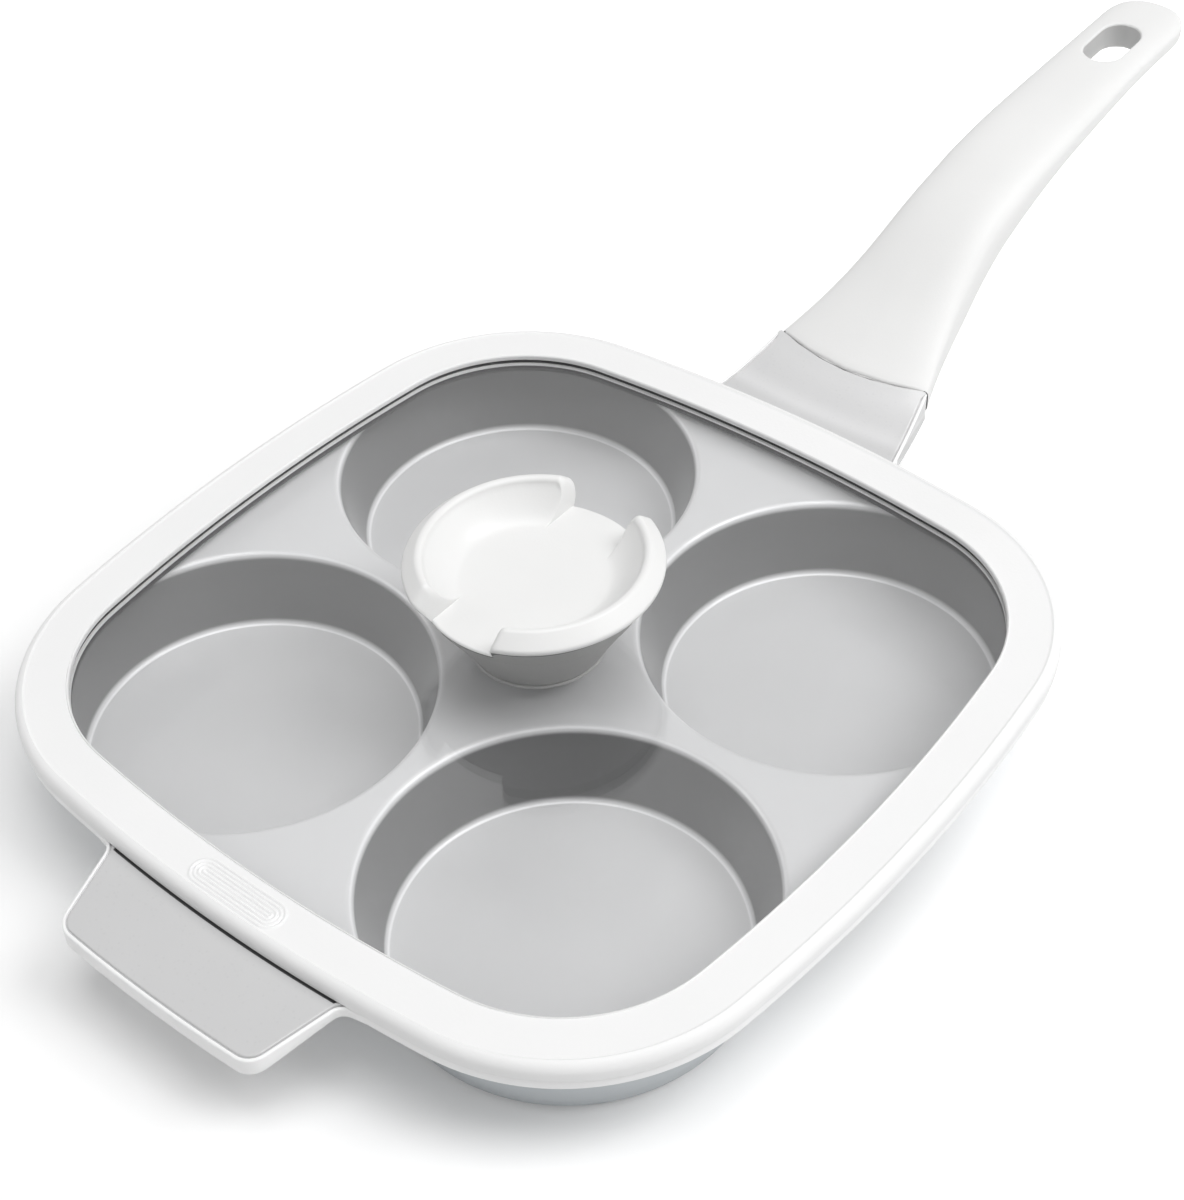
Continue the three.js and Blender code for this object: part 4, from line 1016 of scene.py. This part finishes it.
def dish_parts(knob):
    """The dish as a turned form whose rim is cut down to the floor's level over two gaps.

    Each point lies between the full profile and the cut one by a mask of its angle from +Y or -Y, and the
    mask is a quarter of an ellipse, so a gap's ends stand up from the floor and round over at their tops.
    The angles are bent so that a gap's edge keeps one distance from the plane x = 0 at every radius."""
    crest, under = DISH_TOP, STEM_TOP + STEM_PLAY
    floor, edge = crest - knob.floor_drop, crest - knob.edge_drop
    half = np.arcsin(knob.gap_half / knob.crest_radius)
    corner = np.linspace(0, QUARTER, 15)
    angles = np.concatenate([
        np.linspace(0, half, 9)[:-1],
        half + knob.gap_ease * (1 - np.cos(corner)),
        np.linspace(half + knob.gap_ease, QUARTER, 44)[1:],
    ])
    masks = np.concatenate([np.zeros(8), np.sin(corner), np.ones(43)])
    away, mask = (np.tile(np.concatenate([row[:-1], row[:0:-1]]), 2) for row in (angles, masks))
    count = len(angles) - 1
    side = np.tile(np.repeat([1, -1], count), 2)
    base = np.repeat([0, np.pi], 2 * count)

    dip = np.linspace(0, 1, 9)[:-1]
    bowl = np.stack([knob.floor_radius * dip, floor - knob.floor_dip * (1 - dip ** 2)], axis=1)
    inner = knob.crest_radius - knob.crest_round
    climb = np.linspace(0, 1, 14)
    face_z = mix(floor, crest - knob.crest_round, climb ** knob.face_power)
    face = np.stack([mix(knob.floor_radius, inner, climb), face_z], axis=1)
    top = arc(knob.crest_radius, crest - knob.crest_round, knob.crest_round, 180, 40, 12)[1:]
    rim = arc(DISH_RADIUS - knob.edge_round, edge - 0.3 * knob.edge_round, knob.edge_round, 50, -75, 11)
    back = np.linspace(top[-1], rim[0], 8)[1:-1]
    lip = rim[-1] - (knob.edge_lip, 0)
    below = floor - knob.floor_depth
    cone = (lip[0] - knob.stem_top) / (lip[1] - under)
    low_radius, gap_radius = (knob.stem_top + cone * (z - under) for z in (below, floor))
    foot = np.array((low_radius, below))
    skirt = np.array([mix(lip, foot, share) for share in (0, 0.24, 0.36, 0.52, 0.76, 1)])
    full = np.concatenate([face, top, back, rim, skirt])
    cut = rounded([(knob.floor_radius, floor), (gap_radius, floor), foot], [knob.gap_edge], len(full))
    rest = np.concatenate([
        np.linspace(foot, (knob.stem_top, under), 5)[1:], [(knob.stem_top / 2, under), (0, under)]])
    wall = cut[:, None] + (full - cut)[:, None] * mask[None, :, None]
    ends = [np.broadcast_to(part[:, None], (len(part), len(mask), 2)) for part in (bowl, rest)]
    radius, height = np.moveaxis(np.concatenate([ends[0], wall, ends[1]]), -1, 0)
    here = np.arcsin(knob.gap_half / np.maximum(radius, knob.floor_radius))
    bent = np.where(away <= half, away * here / half,
                    QUARTER - (QUARTER - away) * (QUARTER - here) / (QUARTER - half))
    turn = base + side * (QUARTER - bent)
    bands = np.full(len(height) - 1, DISH)
    first = len(bowl) + len(full) - len(skirt)
    bands[first:] = SKIRT
    # Painted shadow: the first bands under the rim are darker, for the rim's shadow on the skirt
    bands[first:first + 2] = RIM_SHADOW
    return [sheet(np.stack([radius * np.cos(turn), radius * np.sin(turn), height], axis=-1), True, bands)]


def stem_profile(knob):
    """Profile of the stem: a cone that flares towards the dish, with a small bevel at its foot."""
    low, high, bevel = STEM_BOTTOM, STEM_TOP, knob.stem_bevel
    share = np.linspace(0, 1, 14)
    radius = mix(knob.stem_base, knob.stem_top, 0.9 * share + 0.1 * share ** 2)
    side = np.stack([radius, mix(low, high, share)], axis=1)
    side[0] = (knob.stem_base - bevel, low)
    side = np.insert(side, 1, (knob.stem_base, low + bevel), axis=0)
    return np.concatenate([[(0, low)], side, [(0, high)]])


def collar_profile(low, high, inner, outer, bevel):
    """Profile of a flat ring with bevelled outer edges."""
    return [(inner, low), (outer - bevel, low), (outer, low + bevel),
            (outer, high - bevel), (outer - bevel, high), (inner, high), (inner, low)]


def screw_parts(node, head_height, columns=64):
    """A screw standing head down: a domed head with a cross-shaped recess, and its shank above.

    The recess is cut where the smaller of the distances from the cross's arms is under half their width."""
    x, y, head, low, high = measured(node)
    centre = (x, y - AXIS_Y)
    face_radius, shank = 0.92 * head, 0.5 * head
    arm_length, arm_end, arm_half, arm_side = (share * head for share in (0.5, 0.12, 0.1, 0.06))
    dome_rise, slot_depth, edge_rise = (share * head_height for share in (0.35, 0.6, 0.25))
    turn = np.linspace(0, 2 * np.pi, columns, endpoint=False)
    radius = np.linspace(0, face_radius, 22)
    x, y = radius[:, None] * np.cos(turn), radius[:, None] * np.sin(turn)
    dome = low + dome_rise * (radius / head) ** 2
    reach = 1 - smooth((np.maximum(np.abs(x), np.abs(y)) - arm_length) / arm_end)
    arm = 1 - smooth((np.minimum(np.abs(x), np.abs(y)) - arm_half) / arm_side)
    face = np.stack([x, y, dome[:, None] + slot_depth * reach * arm], axis=-1) + (*centre, 0)
    top = low + head_height
    rest = turned([(radius[-1], dome[-1]), (head, dome[-1] + edge_rise), (head, top), (shank, top),
                   (shank, high - 0.5 * shank), (0.5 * shank, high), (0, high)], columns, *centre)
    return [sheet(face, True), rest]


# Operators


class EggPanOperator:
    """Base of the operators that build the pieces."""
    bl_options = {"REGISTER", "UNDO"}

    def execute(self, context):
        self.build(context.scene.egg_pan)
        return {"FINISHED"}


class EGGPAN_OT_casting(EggPanOperator, bpy.types.Operator):
    """Builds the cast pan with its cups, flange, helper tab and handle lug"""
    bl_idname = "eggpan.casting"
    bl_label = "Cast pan"

    def build(self, settings):
        pan, paint = settings.pan, settings.finish
        flange, deck = pan.flange_level, pan.flange_level - pan.deck_drop
        wall, line, tab = paint.cup_wall_painted_shade, paint.cup_line_painted_highlight, paint.tab_painted_shade
        # Shares of tone by height, which paint light and shade: from a cup's floor to the deck (darker
        # floors and walls, bright lines along the rounded edges), and from the flange up the lug (a darker
        # tab, a lighter band on the lug)
        cup_painted_light_stops = [(0.0, paint.cup_floor_painted_shade), (0.004, line), (0.02, 1.0), (0.09, wall),
                     (0.9, wall), (0.96, 1.0), (0.982, line), (1.0, 1.0)]
        lug_painted_light_stops = [(0.0, tab), (0.1, tab), (0.25, 0.98), (0.45, 0.92), (1.0, 1.0)]
        cup_painted_light = (deck - pan.cup_depth, deck - paint.shade_drop, cup_painted_light_stops)
        lug_painted_light = (flange, flange + paint.lug_climb, lug_painted_light_stops)
        materials = [
            painted("satin_coating", paint.coating, lug_painted_light),
            painted("white_enamel", paint.enamel),
            painted("body_coating", paint.body),
            # Near-black painted shade for the line at the tab's root
            painted("seam_line", paint.painted_gap_shade),
            painted("tray_coating", paint.tray, cup_painted_light),
        ]
        make_piece("cast_pan", casting_parts(pan), materials, "pan", ["pan_casting"])


# Shares of a disc's radius where rings are pressed into it
PRESSED_RINGS = (0.35, 0.62, 0.88)
# Radius and height of the dimple in a disc's middle
DIMPLE = ((0, 0.0003), (0.0015, 0.0002), (0.0022, 0))


class EGGPAN_OT_discs(EggPanOperator, bpy.types.Operator):
    """Builds the pressed steel discs under the cups"""
    bl_idname = "eggpan.discs"
    bl_label = "Base discs"

    def build(self, settings):
        sizes = settings.fittings
        bevel = sizes.disc_bevel
        for n in range(1, 5):
            x, y, radius, low, high = measured(f"base_disc_{n}")
            grooves = [(share * radius + side * sizes.press_half, low + lift * sizes.press_depth)
                       for share in PRESSED_RINGS
                       for side, lift in ((-1, 0), (-0.5, 1), (0.5, 1), (1, 0))]
            dimple = [(out, low + lift) for out, lift in DIMPLE]
            edge = [(radius - bevel, low), (radius, low + bevel), (radius, high), (0, high)]
            disc = turned([*dimple, *grooves, *edge], 128, x, y - AXIS_Y)
            steel = shared(f"pressed_steel_{n}", turned_metal, settings.finish.steel, (x, y))
            make_piece(f"steel_disc_{n}", [disc], [steel], "pan", [f"base_disc_{n}"])


class EGGPAN_OT_grip(EggPanOperator, bpy.types.Operator):
    """Builds the moulded handle grip"""
    bl_idname = "eggpan.grip"
    bl_label = "Handle grip"

    def build(self, settings):
        paint = settings.finish
        materials = [
            painted("grip_plastic", paint.moulding),
            # Painted shade in the joint's gap and on the hanging hole's wall
            painted("seam_line", paint.painted_gap_shade),
            painted("hole_wall", np.array(paint.moulding) * paint.hole_painted_shade),
        ]
        parts = grip_parts(settings.pan, settings.handle)
        make_piece("moulded_grip", parts, materials, "pan", ["handle_grip"], 32.0)


class EGGPAN_OT_fasteners(EggPanOperator, bpy.types.Operator):
    """Builds the screws and washers under the grip and under the glass"""
    bl_idname = "eggpan.fasteners"
    bl_label = "Screws and washers"

    def build(self, settings):
        sizes = settings.fittings
        for screw, washer, body, head in (
            ("handle_screw_1", "handle_washer_1", "pan", sizes.handle_head),
            ("handle_screw_2", "handle_washer_2", "pan", sizes.handle_head),
            ("knob_screw", "knob_washer", "lid", sizes.knob_head),
        ):
            x, y, outer, low, high = measured(washer)
            steel = shared(f"{screw}_steel", turned_metal, settings.finish.steel, (x, y), 0.0003, 0.26)
            crossed = screw_parts(screw, head)
            make_piece(f"{screw}_crossed", crossed, [steel], body, [screw])
            collar = collar_profile(low, high, sizes.washer_bore * outer, outer, sizes.washer_bevel)
            ring = turned(collar, 64, x, y - AXIS_Y)
            make_piece(f"{washer}_bevelled", [ring], [steel], body, [washer])


class EGGPAN_OT_ring(EggPanOperator, bpy.types.Operator):
    """Builds the lid's silicone ring with its thumb grip"""
    bl_idname = "eggpan.ring"
    bl_label = "Lid ring"

    def build(self, settings):
        paint = settings.finish
        # The second finish is near-black painted shade in the slot under the lip
        materials = [painted("ring_silicone", paint.silicone), painted("seam_line", paint.painted_gap_shade)]
        parts = ring_parts(settings.pan, settings.lid)
        make_piece("silicone_ring", parts, materials, "lid", ["lid_rim"])


class EGGPAN_OT_pane(EggPanOperator, bpy.types.Operator):
    """Builds the lid's glass pane"""
    bl_idname = "eggpan.pane"
    bl_label = "Glass pane"

    def build(self, settings):
        glass = shared("pane_glass", clear_pane, settings.finish.glass)
        parts = pane_parts(settings.pan, settings.lid)
        make_piece("glass_pane", parts, [glass], "lid", ["lid_glass"])


class EGGPAN_OT_knob(EggPanOperator, bpy.types.Operator):
    """Builds the dish-shaped knob, its stem and the rings that clamp it"""
    bl_idname = "eggpan.knob"
    bl_label = "Knob"

    def build(self, settings):
        knob, paint = settings.knob, settings.finish
        plastic = painted("knob_plastic", paint.moulding)
        grey = painted("stem_plastic", paint.stem)
        # A darker copy of the stem's grey, as painted shadow under the dish's rim
        dim = painted("rim_groove", np.array(paint.stem) * paint.rim_shadow_tone)
        make_piece("dish_knob", dish_parts(knob), [plastic, grey, dim], "lid", ["knob_dish"])
        neck = turned(stem_profile(knob), 128)
        make_piece("knob_neck", [neck], [grey], "lid", ["knob_stem"])
        gasket = painted("gasket_silicone", paint.gasket)
        sizes = settings.fittings
        rings = {"knob_seat_ring": sizes.seat_bevel, "knob_under_ring": sizes.under_bevel}
        for node, bevel in rings.items():
            _, _, outer, low, high = measured(node)
            ring = turned(collar_profile(low, high, settings.lid.pane_hole, outer, bevel), 128)
            make_piece(f"{node}_bevelled", [ring], [gasket], "lid", [node])
        brass = shared("insert_brass_turned", turned_metal, paint.brass, (0.0, AXIS_Y), 0.0004)
        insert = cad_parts["knob_insert"]
        insert.data.materials.clear()
        insert.data.materials.append(brass)


# Lamps: name, place, size across and down, and watts
LAMPS = (
    ("key_lamp", (1.5, 0.8, 2.3), (1.6, 1.6), 34.0),
    ("top_lamp", (0.3, -0.1, 2.9), (1.8, 1.8), 32.0),
    ("fill_lamp", (1.6, -1.4, 2.05), (1.5, 1.5), 4.0),
    ("side_lamp", (2.3, 1.2, 0.5), (2.0, 0.8), 8.0),
    ("left_lamp", (-2.0, -1.2, 1.3), (1.2, 1.2), 7.0),
)


class EGGPAN_OT_stage(EggPanOperator, bpy.types.Operator):
    """Builds the floor, the lamps, the surroundings and the camera"""
    bl_idname = "eggpan.stage"
    bl_label = "Stage"

    def build(self, settings):
        stage = settings.stage
        scene = bpy.context.scene
        scene.view_settings.view_transform = "Standard"
        self.floor(stage)
        self.surroundings(scene, stage)
        for name, place, size, watts in LAMPS:
            self.lamp(name, np.array(place), size, watts)
        self.camera(scene, stage)

    def floor(self, stage):
        """A pale floor that keeps the object's shadow at the tab's side and fades to white away from it."""
        half = stage.floor_half
        square = [(-half, -half, 0), (half, -half, 0), (half, half, 0), (-half, half, 0)]
        mesh = bpy.data.meshes.new("pale_floor")
        mesh.from_pydata(square, [], [(0, 1, 2, 3)])
        finish = Finish("pale_floor")
        darkest = (stage.glow_x, stage.glow_y, 0)
        far = finish.add("VectorMath", {0: finish.coords, 1: darkest}, "Value", operation="DISTANCE")
        glow = finish.span(far, stage.glow, 1.0, stage.glow_near, stage.glow_far)
        seen = finish.add("LightPath", {}, "Is Camera Ray")
        mesh.materials.append(finish.done(
            Base_Color=finish.tones(finish.noise(3.0), opaque(stage.floor, 0.995), opaque(stage.floor)),
            Roughness=0.9,
            Specular_IOR_Level=0.0,
            Emission_Color=(1, 1, 1, 1),
            Emission_Strength=finish.maths("MULTIPLY", seen, glow),
        ))
        floor = bpy.data.objects.new("pale_floor", mesh)
        bpy.context.scene.collection.objects.link(floor)

    def surroundings(self, scene, stage):
        """White to the camera and in mirrored or passing light, and dim as light on the object."""
        scene.world = bpy.data.worlds.new("studio")
        scene.world.use_nodes = True
        graph = Graph(scene.world.node_tree)
        path = graph.nodes.new("ShaderNodeLightPath").outputs
        shown = path["Is Camera Ray"]
        for ray in ("Is Glossy Ray", "Is Transmission Ray"):
            shown = graph.maths("MAXIMUM", shown, path[ray])
        strength = graph.span(shown, stage.ambient, 1.0, 0, 1)
        graph.feed(graph.nodes["Background"], {"Color": (1, 1, 1, 1), "Strength": strength})

    def stand(self, place, across, up, back):
        """The matrix of something at a place with three axes of its own."""
        axes = np.stack([across, up, back], axis=1)
        return Matrix.Translation(place) @ Matrix(axes.tolist()).to_4x4()

    def lamp(self, name, place, size, watts):
        """An oval lamp that faces the point on the floor under the lid's middle."""
        light = bpy.data.lights.new(name, "AREA")
        light.shape, light.energy = "ELLIPSE", watts
        light.size, light.size_y = size
        lamp = bpy.data.objects.new(name, light)
        away = place - (0, AXIS_Y, 0)
        away = away / np.linalg.norm(away)
        side = np.cross((0, 0, 1), away)
        side /= np.linalg.norm(side)
        lamp.matrix_world = self.stand(place, side, np.cross(away, side), away)
        bpy.context.scene.collection.objects.link(lamp)

    def camera(self, scene, stage):
        """A camera that looks at the lid's middle from an azimuth and elevation, rolled about its axis."""
        a, e, r = stage.azimuth, stage.elevation, stage.roll
        back = np.array([np.sin(a) * np.cos(e), -np.cos(a) * np.cos(e), np.sin(e)])
        right = np.array([np.cos(a), np.sin(a), 0])
        up = np.cross(back, right)
        across, upright = np.cos(r) * right + np.sin(r) * up, np.cos(r) * up - np.sin(r) * right
        place = back * stage.distance + (0, AXIS_Y, RIM_TOP)
        lens = bpy.data.cameras.new("photo_camera")
        lens.sensor_fit, lens.sensor_height = "VERTICAL", 36.0
        lens.lens = stage.focal / stage.picture_height * lens.sensor_height
        lens.shift_x = (stage.picture_width / 2 - stage.middle_x) / stage.picture_height
        lens.shift_y = (stage.middle_y - stage.picture_height / 2) / stage.picture_height
        lens.clip_start = 0.01
        camera = bpy.data.objects.new("photo_camera", lens)
        camera.matrix_world = self.stand(place, across, upright, back)
        scene.collection.objects.link(camera)
        scene.camera = camera


BUILDERS = (EGGPAN_OT_casting, EGGPAN_OT_discs, EGGPAN_OT_grip, EGGPAN_OT_fasteners, EGGPAN_OT_ring,
            EGGPAN_OT_pane, EGGPAN_OT_knob, EGGPAN_OT_stage)


class EGGPAN_PT_panel(bpy.types.Panel):
    """Lists the egg pan's builders and sizes"""
    bl_idname = "EGGPAN_PT_panel"
    bl_label = "Egg pan"
    bl_space_type = "VIEW_3D"
    bl_region_type = "UI"
    bl_category = "Egg pan"

    def draw(self, context):
        for builder in BUILDERS:
            self.layout.operator(builder.bl_idname)
        for group in ("pan", "handle", "lid", "knob", "fittings", "finish", "stage"):
            settings = getattr(context.scene.egg_pan, group)
            box = self.layout.box()
            for key in settings.bl_rna.properties.keys():
                if key not in {"rna_type", "name"}:
                    box.prop(settings, key)


CLASSES = (PanSizes, HandleSizes, LidSizes, KnobSizes, FittingSizes, Finishes, StageSettings,
           EggPanSettings, *BUILDERS, EGGPAN_PT_panel)


def register():
    for cls in CLASSES:
        bpy.utils.register_class(cls)
    bpy.types.Scene.egg_pan = bpy.props.PointerProperty(type=EggPanSettings)


def unregister():
    del bpy.types.Scene.egg_pan
    for cls in reversed(CLASSES):
        bpy.utils.unregister_class(cls)


def main():
    register()
    for builder in BUILDERS:
        getattr(bpy.ops.eggpan, builder.bl_idname.partition(".")[2])()


if __name__ == "__main__":
    main()
